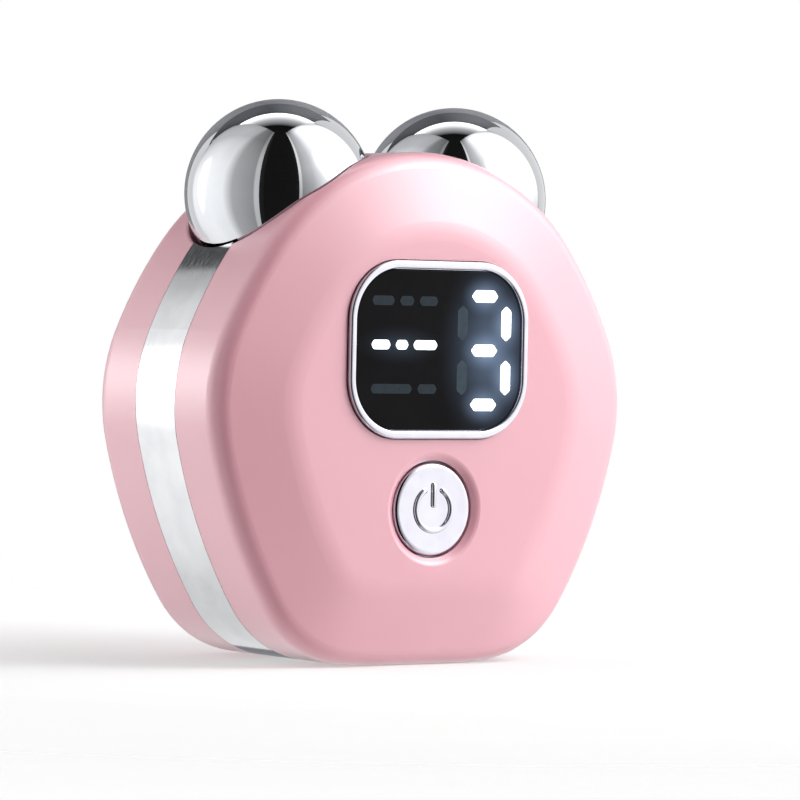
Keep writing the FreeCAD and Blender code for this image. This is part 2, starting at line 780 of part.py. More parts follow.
# Front shell
front_outer = half_body("FrontOuter", 1, "Sizes.face_depth")
front_room = cut("FrontRoom", half_hollow("FrontHollow", 1, "Places.cavity_face"), cups)
front_raw = cut("FrontRaw", open_to_balls("FrontOpen", front_outer), [front_room])
face_root = "Sizes.face_depth - Sizes.face_wall / 2"
button_boss = rod(
    "ButtonBoss",
    "0",
    "Sizes.button_height",
    "Places.flange_radius + Sizes.boss_wall",
    face_root,
    "Sizes.boss_depth",
)
board_posts = both_sides(
    "BoardPost",
    "Sizes.board_post_x",
    "Sizes.board_post_z",
    "Sizes.post_radius",
    face_root,
    "Places.board_front",
)


def at_pins(label, radius, front, back):
    """Four round bars where the press pins stand: beside the vertices and over the foot's corners."""
    bars = []
    for spot in ("side", "foot"):
        x, z = f"Places.pin_{spot}_x", f"Places.pin_{spot}_z"
        bars += both_sides(spot.capitalize() + label, x, z, radius, front, back)
    return bars


sockets = at_pins("Socket", "Sizes.socket_radius", "Sizes.edge_depth", "0")
front_full = fused("FrontFull", [front_raw, button_boss] + board_posts + sockets)

window = slab(
    "WindowSeat",
    lambda sketch: draw_rounded(
        sketch,
        "0",
        "Sizes.display_height",
        "Sizes.bezel_width + 2 * Sizes.bezel_gap",
        "Sizes.bezel_tall + 2 * Sizes.bezel_gap",
        "Sizes.bezel_corner + Sizes.bezel_gap",
    ),
    "Places.bezel_front + Sizes.overrun",
    "Places.bezel_back",
)
window_through = sketch_in(window, "XZ_Plane", "Places.bezel_back + Sizes.overrun")
draw_rounded(
    window_through,
    "0",
    "Sizes.display_height",
    "Places.gasket_width + 2 * Sizes.window_gap",
    "Places.gasket_tall + 2 * Sizes.window_gap",
    "Places.gasket_corner + Sizes.window_gap",
)
pad(window, window_through, "Sizes.bezel_sunk + Sizes.face_wall + Sizes.overrun", True)
dish = start("Dish")
dish_sketch = sketch_in(dish, "XZ_Plane")
dish_top = "Sizes.face_depth + Sizes.overrun"
bowl_turn, lip_turn = value("Sizes.dish_bowl_angle"), value("Sizes.dish_lip_angle")
lip_middle = (value("Places.lip_middle"), value("Places.lip_depth"))
bowl_arc = arc_of((0, value("Places.dish_middle")), value("Sizes.dish_bowl"), -90, bowl_turn - 90)
lip_arc = arc_of(lip_middle, value("Sizes.dish_lip"), 90 + lip_turn, 90 + bowl_turn)
bowl_foot, lip_end = bowl_arc.StartPoint, lip_arc.StartPoint
outer_top, inner_top = V(lip_end.x, value(dish_top), 0), V(0, value(dish_top), 0)
dish_sketch.addGeometry(bowl_arc, False)
dish_sketch.addGeometry(lip_arc, False)
for begin, finish in ((lip_end, outer_top), (outer_top, inner_top), (inner_top, bowl_foot)):
    dish_sketch.addGeometry(Part.LineSegment(begin, finish), False)
for joint in ((1, 1, 2, 1), (2, 2, 3, 1), (3, 2, 4, 1), (4, 2, 0, 1)):
    dish_sketch.addConstraint(Sketcher.Constraint("Coincident", *joint))
dish_sketch.addConstraint(Sketcher.Constraint("Tangent", 0, 2, 1, 2))
for kind, line in (("Vertical", 2), ("Horizontal", 3), ("Vertical", 4)):
    dish_sketch.addConstraint(Sketcher.Constraint(kind, line))
dish_sketch.addConstraint(Sketcher.Constraint("PointOnObject", 3, 2, -2))
fix_point(dish_sketch, 0, 3, "0", "Places.dish_middle")
fix_point(dish_sketch, 2, 2, "Places.lip_edge", dish_top)
bind(dish_sketch, Sketcher.Constraint("DistanceX", -1, 1, 1, 3, lip_middle[0]), "Places.lip_middle")
for index, radius in ((0, "Sizes.dish_bowl"), (1, "Sizes.dish_lip")):
    bind(dish_sketch, Sketcher.Constraint("Radius", index, value(radius)), radius)
spin(dish, dish_sketch)
facing_front(dish, "0", "Sizes.button_height")
button_hole = rod(
    "ButtonHole",
    "0",
    "Sizes.button_height",
    "Places.hole_radius",
    "Sizes.face_depth + Sizes.overrun",
    "Sizes.boss_depth - Sizes.overrun",
)
board_pilots = both_sides(
    "BoardPilot",
    "Sizes.board_post_x",
    "Sizes.board_post_z",
    "Sizes.screw_radius",
    "Sizes.board_depth + Sizes.screw_long",
    "Places.board_front - Sizes.overrun",
)
pin_holes = at_pins("PinHole", "Sizes.pin_radius", "Sizes.socket_deep", "-Sizes.overrun")
front_cuts = bush_holes + [groove, usb_slot, window, dish, button_hole] + board_pilots + pin_holes
front_shell = cut("front_shell", front_full, front_cuts)

# Rear shell
rear_outer = half_body("RearOuter", -1, "Sizes.back_depth")
rear_room = cut("RearRoom", half_hollow("RearHollow", -1, "Places.cavity_back"), cups)
rear_raw = cut("RearRaw", open_to_balls("RearOpen", rear_outer), [rear_room])
back_root = "-(Sizes.back_depth - Sizes.face_wall / 2)"
pin_posts = at_pins("Post", "Sizes.socket_radius", "0", "-Sizes.edge_depth")
pins = at_pins("Pin", "Sizes.pin_radius", "Sizes.pin_long", "-Sizes.socket_radius")
bracket_posts = both_sides(
    "BracketPost",
    "Places.bracket_screw_x",
    "Places.bracket_screw_z",
    "Sizes.post_radius",
    "-Sizes.bracket_half",
    back_root,
)
charge_rear = "-(Places.charge_face + Sizes.board_thick)"
charge_posts = both_sides(
    "ChargePost", "Sizes.charge_post_x", "Sizes.charge_post_z", "Sizes.post_radius", charge_rear, back_root
)
cradle = start("MotorCradle")
cradle_sketch = sketch_in(cradle, "XY_Plane", "Sizes.motor_height + Sizes.boot_inset + Sizes.cradle_inset")
cradle_half = "(Places.boot_radius + Sizes.cradle_wall)"
draw_box(
    cradle_sketch,
    f"-Sizes.motor_x - {cradle_half}",
    "0",
    f"-Sizes.motor_x + {cradle_half}",
    "Sizes.back_depth - Sizes.face_wall / 2",
)
pad(cradle, cradle_sketch, "Sizes.boot_long - 2 * Sizes.cradle_inset")
cradle_bore = sketch_in(cradle, "XY_Plane", "Sizes.motor_height")
draw_circle(cradle_bore, "-Sizes.motor_x", "0", "Places.boot_radius")
pocket(cradle, cradle_bore, "Sizes.motor_long", True)
cradle_trim = doc.addObject("Part::Common", "CradleTrim")
cradle_trim.Base = cradle
cradle_trim.Tool = rear_outer
doc.recompute()
rear_full = fused("RearFull", [rear_raw, cradle_trim] + pin_posts + pins + bracket_posts + charge_posts)
bracket_pilots = both_sides(
    "BracketPilot",
    "Places.bracket_screw_x",
    "Places.bracket_screw_z",
    "Sizes.screw_radius",
    "-Sizes.bracket_half + Sizes.overrun",
    "-Sizes.bracket_half - Sizes.screw_long",
)
charge_pilots = both_sides(
    "ChargePilot",
    "Sizes.charge_post_x",
    "Sizes.charge_post_z",
    "Sizes.screw_radius",
    f"{charge_rear} + Sizes.overrun",
    "-Places.charge_face - Sizes.screw_long",
)
rear_cuts = bush_holes + [groove, usb_slot] + bracket_pilots + charge_pilots
rear_shell = cut("rear_shell", rear_full, rear_cuts)

# Bright band: a ring flush with the sides, open at the balls
band_ring = start("BandRing")
band_outer = sketch_in(band_ring, "XZ_Plane", "-Sizes.band_half")
draw_outline(band_outer, "0")
pad(band_ring, band_outer, "2 * Sizes.band_half")
band_core = sketch_in(band_ring, "XZ_Plane", "Sizes.band_half + Sizes.overrun")
draw_outline(band_core, "Sizes.band_thick")
pocket(band_ring, band_core, "2 * (Sizes.band_half + Sizes.overrun)")
band_top = sketch_in(band_ring, "XZ_Plane", "Sizes.band_half + Sizes.overrun")
draw_box(
    band_top,
    "-Sizes.body_width",
    "Places.ball_z - Sizes.band_gap",
    "Sizes.body_width",
    "Places.ball_z + Sizes.body_width",
)
pocket(band_ring, band_top, "2 * (Sizes.band_half + Sizes.overrun)")
side_band = cut("side_band", band_ring, recesses + [usb_slot])

# Balls, axles, bushes, clips and spring strips, made on the right and mirrored
ball = start("roller_ball_right")
ball_sketch = sketch_in(ball, "XZ_Plane")
ball_sketch.addGeometry(arc_of((0, 0), value("Sizes.ball_radius"), -90, 90), False)
ball_sketch.addGeometry(
    Part.LineSegment(V(0, value("Sizes.ball_radius"), 0), V(0, -value("Sizes.ball_radius"), 0)), False
)
ball_sketch.addConstraint(Sketcher.Constraint("Coincident", 0, 2, 1, 1))
ball_sketch.addConstraint(Sketcher.Constraint("Coincident", 1, 2, 0, 1))
ball_sketch.addConstraint(Sketcher.Constraint("Coincident", 0, 3, -1, 1))
ball_sketch.addConstraint(Sketcher.Constraint("Vertical", 1))
bind(ball_sketch, Sketcher.Constraint("Radius", 0, value("Sizes.ball_radius")), "Sizes.ball_radius")
spin(ball, ball_sketch)
ball_bore = sketch_in(ball, "XY_Plane", "Sizes.axle_seat")
draw_circle(ball_bore, "0", "0", "Sizes.axle_radius")
pocket(ball, ball_bore, "Sizes.ball_radius + Sizes.axle_seat + Sizes.overrun")
on_axle(ball)
mirrored("roller_ball_left", ball)

clip_floor = "Sizes.axle_radius - Sizes.clip_groove"
axle = turned(
    "roller_axle_right",
    [
        ("0", "Sizes.axle_seat"),
        ("0", "-Places.axle_end"),
        ("Sizes.axle_radius - Sizes.axle_chamfer", "-Places.axle_end"),
        ("Sizes.axle_radius", "-Places.axle_end + Sizes.axle_chamfer"),
        ("Sizes.axle_radius", "-Places.clip_end"),
        (clip_floor, "-Places.clip_end"),
        (clip_floor, "-Places.clip_start"),
        ("Sizes.axle_radius", "-Places.clip_start"),
        ("Sizes.axle_radius", "Sizes.axle_seat"),
    ],
)
on_axle(axle)
mirrored("roller_axle_left", axle)

clip = turned(
    "axle_clip_right",
    [
        (clip_floor, "-Places.clip_end"),
        ("Sizes.clip_radius", "-Places.clip_end"),
        ("Sizes.clip_radius", "-Places.clip_start"),
        (clip_floor, "-Places.clip_start"),
    ],
)
clip_mouth = sketch_in(clip, "XY_Plane", "-Places.clip_start + Sizes.overrun")
draw_box(clip_mouth, "0", "-Sizes.clip_slot / 2", "Sizes.clip_radius + Sizes.overrun", "Sizes.clip_slot / 2")
pocket(clip, clip_mouth, "Sizes.clip_thick + 2 * Sizes.overrun")
on_axle(clip)
mirrored("axle_clip_left", clip)

bush_bore = "Sizes.axle_radius + Sizes.running_gap"
bush = turned(
    "axle_bush_right",
    [
        (bush_bore, "-Places.bracket_face"),
        ("Places.bush_radius", "-Places.bracket_face"),
        ("Places.bush_radius", "-Places.bush_start"),
        (bush_bore, "-Places.bush_start"),
    ],
)
on_axle(bush)
mirrored("axle_bush_left", bush)

strip = start("electrode_spring_right")
strip_sketch = sketch_in(strip, "XZ_Plane", "-Sizes.strip_half")
strip_out = "Sizes.strip_bend + Sizes.strip_foot"
strip_face = "-Places.bracket_face"
draw_polygon(
    strip_sketch,
    [
        ("-Sizes.strip_reach", "-Places.strip_level"),
        ("-Sizes.strip_reach", "-Places.strip_level - Sizes.strip_thick"),
        ("Sizes.strip_bend + Sizes.strip_thick", "-Places.strip_level - Sizes.strip_thick"),
        ("Sizes.strip_bend + Sizes.strip_thick", f"{strip_face} - Sizes.strip_thick"),
        (strip_out, f"{strip_face} - Sizes.strip_thick"),
        (strip_out, strip_face),
        ("Sizes.strip_bend", strip_face),
        ("Sizes.strip_bend", "-Places.strip_level"),
    ],
)
pad(strip, strip_sketch, "2 * Sizes.strip_half")
on_axle(strip)
mirrored("electrode_spring_left", strip)


# Bracket: two arms square to the axles, hollowed to cradle the cups

def beside_axle(outward, inward):
    """The place in the front view that lies so far beside and along the right-hand axle."""
    x = f"Places.ball_x - ({inward}) * {sin_of('ball_tilt')} + ({outward}) * {cos_of('ball_tilt')}"
    z = f"Places.ball_z - ({inward}) * {cos_of('ball_tilt')} - ({outward}) * {sin_of('ball_tilt')}"
    return x, z


def over_middle(inward):
    """Where the line square to the axle at a station crosses the middle of the body."""
    height = f"Places.ball_z - ({inward}) / {cos_of('ball_tilt')}"
    return "0", f"{height} + Places.ball_x * tan(Sizes.ball_tilt)"


def opposite(point):
    return f"-({point[0]})", point[1]


bracket_block = start("BracketBlock")
bracket_sketch = sketch_in(bracket_block, "XZ_Plane", "-Sizes.bracket_half")
bracket_low = beside_axle("Sizes.bracket_reach", "Places.bracket_face")
bracket_ridge = "Places.bracket_face - Sizes.bracket_thick - Sizes.bracket_shoulder"
bracket_high = beside_axle("Sizes.bracket_reach", bracket_ridge)
draw_polygon(
    bracket_sketch,
    [
        over_middle("Places.bracket_face"),
        bracket_low,
        bracket_high,
        over_middle(bracket_ridge),
        opposite(bracket_high),
        opposite(bracket_low),
    ],
)
pad(bracket_block, bracket_sketch, "2 * Sizes.bracket_half")
bracket_seats = sphere_pair("Seat", "Places.cup_radius + Sizes.bracket_gap")
bracket_bores = axle_drill("BracketBore", "Places.bush_radius")
bracket_holes = both_sides(
    "BracketHole",
    "Places.bracket_screw_x",
    "Places.bracket_screw_z",
    "Sizes.screw_radius + Sizes.screw_hole_gap",
    "Sizes.bracket_half + Sizes.overrun",
    "-Sizes.bracket_half - Sizes.overrun",
)
axle_bracket = cut("axle_bracket", bracket_block, bracket_seats + bracket_bores + bracket_holes)

film_top = "Places.bracket_face - Sizes.bracket_thick + Sizes.film_margin"
film_low = "Places.bracket_face - Sizes.film_margin"
film_inner = over_middle(film_low)
film_outer = beside_axle("Sizes.film_reach", film_low)
film_upper = beside_axle("Sizes.film_reach", film_top)
film_middle = over_middle(film_top)
heater_film = slab(
    "heater_film",
    lambda sketch: draw_polygon(
        sketch,
        [film_inner, film_outer, film_upper, film_middle, opposite(film_upper), opposite(film_outer)],
    ),
    "Sizes.bracket_half + Sizes.film_thick",
    "Sizes.bracket_half",
)


# Screws: a pan head with a round socket, its shank along +station

def screw_pair(label, x, z, seat, forwards, shank):
    """Two screws whose heads sit at a depth, with shanks running forwards or backwards."""
    piece = turned(
        label + "One",
        [
            ("0", "-Sizes.screw_head_tall + Sizes.screw_socket_deep"),
            ("Sizes.screw_socket", "-Sizes.screw_head_tall + Sizes.screw_socket_deep"),
            ("Sizes.screw_socket", "-Sizes.screw_head_tall"),
            ("Sizes.screw_head - Sizes.screw_socket_deep", "-Sizes.screw_head_tall"),
            ("Sizes.screw_head", "-Sizes.screw_head_tall + Sizes.screw_socket_deep"),
            ("Sizes.screw_head", "0"),
            ("Sizes.screw_radius", "0"),
            ("Sizes.screw_radius", shank),
            ("0", shank),
        ],
    )
    turn = 90 if forwards else -90
    piece.Placement = FreeCAD.Placement(V(0, 0, 0), FreeCAD.Rotation(V(1, 0, 0), turn))
    move(piece, x, f"-({seat})", z)
    return together(label, [piece, mirrored(label + "Two", piece)])


screw_pair(
    "board_screws",
    "Sizes.board_post_x",
    "Sizes.board_post_z",
    "Sizes.board_depth",
    True,
    "Sizes.screw_long",
)
screw_pair(
    "bracket_screws",
    "Places.bracket_screw_x",
    "Places.bracket_screw_z",
    "Sizes.bracket_half",
    False,
    "2 * Sizes.bracket_half + Sizes.screw_long",
)
screw_pair(
    "charge_screws",
    "Sizes.charge_post_x",
    "Sizes.charge_post_z",
    "-Places.charge_face",
    False,
    "Sizes.screw_long",
)

# Display
bezel = slab(
    "display_bezel",
    lambda sketch: draw_rounded(
        sketch, "0", "Sizes.display_height", "Sizes.bezel_width", "Sizes.bezel_tall", "Sizes.bezel_corner"
    ),
    "Places.bezel_front",
    "Places.bezel_back",
)
bezel_bowl = sketch_in(bezel, "XZ_Plane", "Places.lens_back")
draw_rounded(
    bezel_bowl, "0", "Sizes.display_height", "Places.lens_width", "Places.lens_tall", "Places.lens_corner"
)
pocket(bezel, bezel_bowl, "Places.bezel_front - Places.lens_back + Sizes.overrun", True)
bezel_through = sketch_in(bezel, "XZ_Plane", "Places.bezel_back - Sizes.overrun")
draw_rounded(
    bezel_through,
    "0",
    "Sizes.display_height",
    "Places.ledge_width",
    "Places.ledge_tall",
    "Places.ledge_corner",
)
pocket(bezel, bezel_through, "Sizes.bezel_floor + 2 * Sizes.overrun", True)
soften(bezel, edges_at_depth(bezel.Tip.Shape, value("Places.bezel_front")), "Sizes.bezel_bevel")

lens = slab(
    "display_lens",
    lambda sketch: draw_rounded(
        sketch,
        "0",
        "Sizes.display_height",
        "Places.lens_width - 2 * Sizes.lens_gap",
        "Places.lens_tall - 2 * Sizes.lens_gap",
        "Places.lens_corner - Sizes.lens_gap",
    ),
    "Places.lens_front",
    "Places.lens_back",
)
soften(lens, edges_at_depth(lens.Tip.Shape, value("Places.lens_front")), "Sizes.lens_edge")


def draw_box_outline(sketch):
    """The outline that the gasket and the light box share."""
    width, tall, corner = "Places.gasket_width", "Places.gasket_tall", "Places.gasket_corner"
    draw_rounded(sketch, "0", "Sizes.display_height", width, tall, corner)


gasket = slab("display_gasket", draw_box_outline, "Places.lens_back", "Places.box_front")
gasket_hole = sketch_in(gasket, "XZ_Plane", "Places.box_front - Sizes.overrun")
draw_rounded(
    gasket_hole,
    "0",
    "Sizes.display_height",
    "Places.gasket_width - 2 * Sizes.gasket_rim",
    "Places.gasket_tall - 2 * Sizes.gasket_rim",
    "Places.gasket_corner - Sizes.gasket_rim",
)
pocket(gasket, gasket_hole, "Sizes.gasket_thick + 2 * Sizes.overrun", True)


def draw_segments(sketch):
    """Seven six-sided light fields of one digit."""
    half = "Sizes.segment_thick / 2"
    middle, level = "Sizes.digit_middle", "Sizes.display_height"
    for row in (-1, 0, 1):
        z = f"{level} + ({row}) * Sizes.digit_half_tall"
        tip = "(Sizes.digit_half_width - Sizes.segment_gap)"
        flat = f"({tip} - {half})"
        draw_polygon(
            sketch,
            [
                (f"{middle} - {tip}", z),
                (f"{middle} - {flat}", f"{z} - {half}"),
                (f"{middle} + {flat}", f"{z} - {half}"),
                (f"{middle} + {tip}", z),
                (f"{middle} + {flat}", f"{z} + {half}"),
                (f"{middle} - {flat}", f"{z} + {half}"),
            ],
        )
    for column in (-1, 1):
        for row in (-1, 1):
            x = f"{middle} + ({column}) * Sizes.digit_half_width"
            z = f"({level} + ({row}) * Sizes.digit_half_tall / 2)"
            tip = "(Sizes.digit_half_tall / 2 - Sizes.segment_gap)"
            flat = f"({tip} - {half})"
            draw_polygon(
                sketch,
                [
                    (x, f"{z} - {tip}"),
                    (f"{x} + {half}", f"{z} - {flat}"),
                    (f"{x} + {half}", f"{z} + {flat}"),
                    (x, f"{z} + {tip}"),
                    (f"{x} - {half}", f"{z} + {flat}"),
                    (f"{x} - {half}", f"{z} - {flat}"),
                ],
            )


def draw_bars(sketch):
    """Three light fields beside the digit, one for each mode."""
    for row in (-1, 0, 1):
        z = f"Sizes.display_height + Sizes.bar_rise + ({row}) * Sizes.bar_pitch"
        left = "-Sizes.bar_left"
        draw_box(
            sketch,
            left,
            f"{z} - Sizes.bar_tall / 2",
            f"{left} + Sizes.bar_long",
            f"{z} + Sizes.bar_tall / 2",
        )


segment_back = "Places.box_front - Sizes.segment_deep"
slab("digit_segments", draw_segments, "Places.box_front", segment_back)
slab("mode_bars", draw_bars, "Places.box_front", segment_back)

reflector = slab("display_reflector", draw_box_outline, "Places.box_front", "Places.board_front")
for draw_fields in (draw_segments, draw_bars):
    fields = sketch_in(reflector, "XZ_Plane", "Places.box_front")
    draw_fields(fields)
    pocket(reflector, fields, "Sizes.segment_deep")

# Main board, its chips and the switch behind the button
board = slab(
    "BoardBlank",
    lambda sketch: draw_outline(sketch, "Sizes.board_inset"),
    "Places.board_front",
    "Sizes.board_depth",
)
board_top = sketch_in(board, "XZ_Plane", "Places.board_front + Sizes.overrun")
draw_box(
    board_top,
    "-Sizes.body_width",
    "Sizes.board_top",
    "Sizes.body_width",
    "Sizes.board_top + Sizes.body_width",
)
pocket(board, board_top, "Sizes.board_thick + 2 * Sizes.overrun")
board_past = ("Places.board_front + Sizes.overrun", "Sizes.board_depth - Sizes.overrun")
notch_radius = "Sizes.socket_radius + Sizes.notch_gap"
board_cuts = at_pins("Notch", notch_radius, *board_past)
board_cuts += both_sides(
    "BoardHole",
    "Sizes.board_post_x",
    "Sizes.board_post_z",
    "Sizes.screw_radius + Sizes.screw_hole_gap",
    *board_past,
)
main_board = cut("main_board", board, board_cuts)


def draw_chips(sketch):
    """A controller in the middle, a driver on each side and a coil below."""
    half = "Sizes.chip_side / 2"
    z = "Sizes.chip_height"
    draw_box(sketch, f"-{half}", f"{z} - {half}", half, f"{z} + {half}")
    for side in (-1, 1):
        x = f"({side}) * Sizes.chip_pitch"
        draw_box(sketch, f"{x} - {half} / 2", f"{z} - {half}", f"{x} + {half} / 2", f"{z} + {half} / 2")
    draw_circle(sketch, "Sizes.chip_pitch", "Sizes.coil_height", "Sizes.coil_radius")


slab("board_chips", draw_chips, "Sizes.board_depth", "Sizes.board_depth - Sizes.chip_tall")

switch = slab(
    "tact_switch",
    lambda sketch: draw_rounded(
        sketch, "0", "Sizes.button_height", "Sizes.switch_side", "Sizes.switch_side", "Sizes.switch_edge"
    ),
    "Places.switch_front",
    "Places.board_front",
)
switch_bore = sketch_in(switch, "XZ_Plane", "Places.switch_front")
draw_circle(switch_bore, "0", "Sizes.button_height", "Sizes.plunger_radius + Sizes.plunger_gap")
pocket(switch, switch_bore, "Sizes.plunger_sunk + Sizes.plunger_room")

plunger = turned(
    "switch_plunger",
    [
        ("0", "Places.switch_front - Sizes.plunger_sunk"),
        ("Sizes.plunger_radius", "Places.switch_front - Sizes.plunger_sunk"),
        ("Sizes.plunger_radius", "Places.stem_end"),
        ("0", "Places.stem_end"),
    ],
)
facing_front(plunger, "0", "Sizes.button_height")

button = turned(
    "power_button",
    [
        ("0", "Places.stem_end"),
        ("Sizes.stem_radius", "Places.stem_end"),
        ("Sizes.stem_radius", "Places.flange_front - Sizes.flange_thick"),
        ("Places.flange_radius", "Places.flange_front - Sizes.flange_thick"),
        ("Places.flange_radius", "Places.flange_front"),
        ("Sizes.button_radius", "Places.flange_front"),
        ("Sizes.button_radius", "Sizes.button_front"),
        ("0", "Sizes.button_front"),
    ],
)
button_rim = edges_at_height(button.Tip.Shape, value("Sizes.button_front"), value("Sizes.stem_radius"))
soften(button, button_rim, "Sizes.button_edge")
facing_front(button, "0", "Sizes.button_height")

# Charging socket: a flattened steel sleeve with a tongue, on its own small board
usb = start("usb_c_socket")
usb_sketch = sketch_in(usb, "XY_Plane", "Sizes.usb_inset")
draw_rounded(usb_sketch, "0", "0", "Sizes.usb_width", "Sizes.usb_tall", usb_corner)
pad(usb, usb_sketch, "Sizes.usb_long")
usb_bore = sketch_in(usb, "XY_Plane", "Sizes.usb_inset - Sizes.overrun")
inner_width = "Sizes.usb_width - 2 * Sizes.usb_wall"
inner_tall = "Sizes.usb_tall - 2 * Sizes.usb_wall"
inner_corner = f"{usb_corner} - Sizes.usb_wall"
draw_rounded(usb_bore, "0", "0", inner_width, inner_tall, inner_corner)
pocket(usb, usb_bore, "Sizes.usb_long + 2 * Sizes.overrun", True)

tongue = start("usb_tongue")
tongue_plug = sketch_in(tongue, "XY_Plane", "Sizes.usb_inset + Sizes.usb_long - Sizes.usb_back")
draw_rounded(tongue_plug, "0", "0", inner_width, inner_tall, inner_corner)
pad(tongue, tongue_plug, "Sizes.usb_back")
tongue_blade = sketch_in(tongue, "XY_Plane", "Sizes.usb_inset + Sizes.tongue_inset")
draw_box(
    tongue_blade,
    "-Sizes.tongue_width / 2",
    "-Sizes.tongue_thick / 2",
    "Sizes.tongue_width / 2",
    "Sizes.tongue_thick / 2",
)
pad(tongue, tongue_blade, "Sizes.usb_long - Sizes.tongue_inset - Sizes.usb_back / 2")

charge_low = "Sizes.side_wall + Sizes.charge_board_gap"
charge_blank = slab(
    "ChargeBlank",
    lambda sketch: draw_box(
        sketch,
        "-Sizes.charge_board_width / 2",
        charge_low,
        "Sizes.charge_board_width / 2",
        f"{charge_low} + Sizes.charge_board_tall",
    ),
    "-Places.charge_face",
    charge_rear,
)
charge_holes = both_sides(
    "ChargeHole",
    "Sizes.charge_post_x",
    "Sizes.charge_post_z",
    "Sizes.screw_radius + Sizes.screw_hole_gap",
    "-Places.charge_face + Sizes.overrun",
    f"{charge_rear} - Sizes.overrun",
)
cut("charge_board", charge_blank, charge_holes)

# Cell on its sticky pad
cell = slab(
    "battery_cell",
    lambda sketch: draw_rounded(
        sketch, "0", "Sizes.cell_height", "Sizes.cell_width", "Sizes.cell_tall", "Sizes.cell_edge"
    ),
    "-Places.cell_back + Sizes.cell_thick",
    "-Places.cell_back",
)
slab(
    "battery_pad",
    lambda sketch: draw_rounded(
        sketch,
        "0",
        "Sizes.cell_height",
        "Sizes.cell_width - 2 * Sizes.pad_margin",
        "Sizes.cell_tall - 2 * Sizes.pad_margin",
        "Sizes.cell_edge",
    ),
    "-Places.cell_back",
    "-Places.cavity_back",
)


# Vibration motor, standing upright in its rubber boot

def beside_cell(item):
    return move(item, "-Sizes.motor_x")


shaft_bore = "Sizes.motor_shaft + Sizes.shaft_gap"
shaft_foot = "Places.motor_top - Sizes.shaft_sunk"
beside_cell(
    turned(
        "vibration_motor",
        [
            ("0", "Sizes.motor_height"),
            ("Sizes.motor_radius", "Sizes.motor_height"),
            ("Sizes.motor_radius", "Places.motor_top"),
            ("Sizes.motor_nose", "Places.motor_top"),
            ("Sizes.motor_nose", "Places.motor_top + Sizes.motor_nose_tall"),
            (shaft_bore, "Places.motor_top + Sizes.motor_nose_tall"),
            (shaft_bore, f"{shaft_foot} - Sizes.shaft_gap"),
            ("0", f"{shaft_foot} - Sizes.shaft_gap"),
        ],
    )
)
beside_cell(
    turned(
        "motor_shaft",
        [
            ("0", shaft_foot),
            ("Sizes.motor_shaft", shaft_foot),
            ("Sizes.motor_shaft", "Places.motor_top + Sizes.shaft_long"),
            ("0", "Places.motor_top + Sizes.shaft_long"),
        ],
    )
)
weight = turned(
    "motor_weight",
    [
        ("Sizes.motor_shaft", "Places.weight_low"),
        ("Sizes.weight_radius", "Places.weight_low"),
        ("Sizes.weight_radius", "Places.weight_low + Sizes.weight_long"),
        ("Sizes.motor_shaft", "Places.weight_low + Sizes.weight_long"),
    ],
)
weight_half = sketch_in(weight, "XY_Plane", "Places.weight_low + Sizes.weight_long + Sizes.overrun")
weight_past = "Sizes.weight_radius + Sizes.overrun"
draw_box(weight_half, f"-({weight_past})", "Sizes.weight_hub", weight_past, weight_past)
pocket(weight, weight_half, "Sizes.weight_long + 2 * Sizes.overrun")
beside_cell(weight)
boot_low = "Sizes.motor_height + Sizes.boot_inset"
beside_cell(
    turned(
        "motor_boot",
        [
            ("Sizes.motor_radius", boot_low),
            ("Places.boot_radius", boot_low),
            ("Places.boot_radius", f"{boot_low} + Sizes.boot_long"),
            ("Sizes.motor_radius", f"{boot_low} + Sizes.boot_long"),
        ],
    )
)

NODES = [
    "front_shell",
    "rear_shell",
    "side_band",
    "display_bezel",
    "display_lens",
    "display_gasket",
    "display_reflector",
    "digit_segments",
    "mode_bars",
    "main_board",
    "board_chips",
    "board_screws",
    "tact_switch",
    "switch_plunger",
    "power_button",
    "charge_board",
    "charge_screws",
    "usb_c_socket",
    "usb_tongue",
    "battery_cell",
    "battery_pad",
    "vibration_motor",
    "motor_shaft",
    "motor_weight",
    "motor_boot",
    "axle_bracket",
    "bracket_screws",
    "heater_film",
    "roller_ball_left",
    "roller_ball_right",
    "roller_axle_left",
    "roller_axle_right",
    "axle_clip_left",
    "axle_clip_right",
    "axle_bush_left",
    "axle_bush_right",
    "electrode_spring_left",
    "electrode_spring_right",
]
doc.recompute()
for item in doc.Objects:
    if "Invalid" in item.State or "Error" in item.State:
        raise RuntimeError(f"{item.Label} did not rebuild")
shapes = {}
for node in NODES:
    shape = doc.getObjectsByLabel(node)[0].Shape
    if shape.isNull() or not shape.isValid() or not shape.Solids:
        raise RuntimeError(f"{node} is no valid solid")
    shapes[node] = shape
os.makedirs("parts", exist_ok=True)
for node, shape in shapes.items():
    shape.exportStep(f"parts/{node}.step")
    box = shape.BoundBox
    print(
        f"{node:24s} solids {len(shape.Solids)} faces {len(shape.Faces):3d} volume {shape.Volume:9.2f}"
        f"  x {box.XMin:7.2f} {box.XMax:7.2f}  y {box.YMin:7.2f} {box.YMax:7.2f}"
        f"  z {box.ZMin:7.2f} {box.ZMax:7.2f}"
    )
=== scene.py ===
import math
import bmesh
import bpy
from mathutils import Matrix, Vector


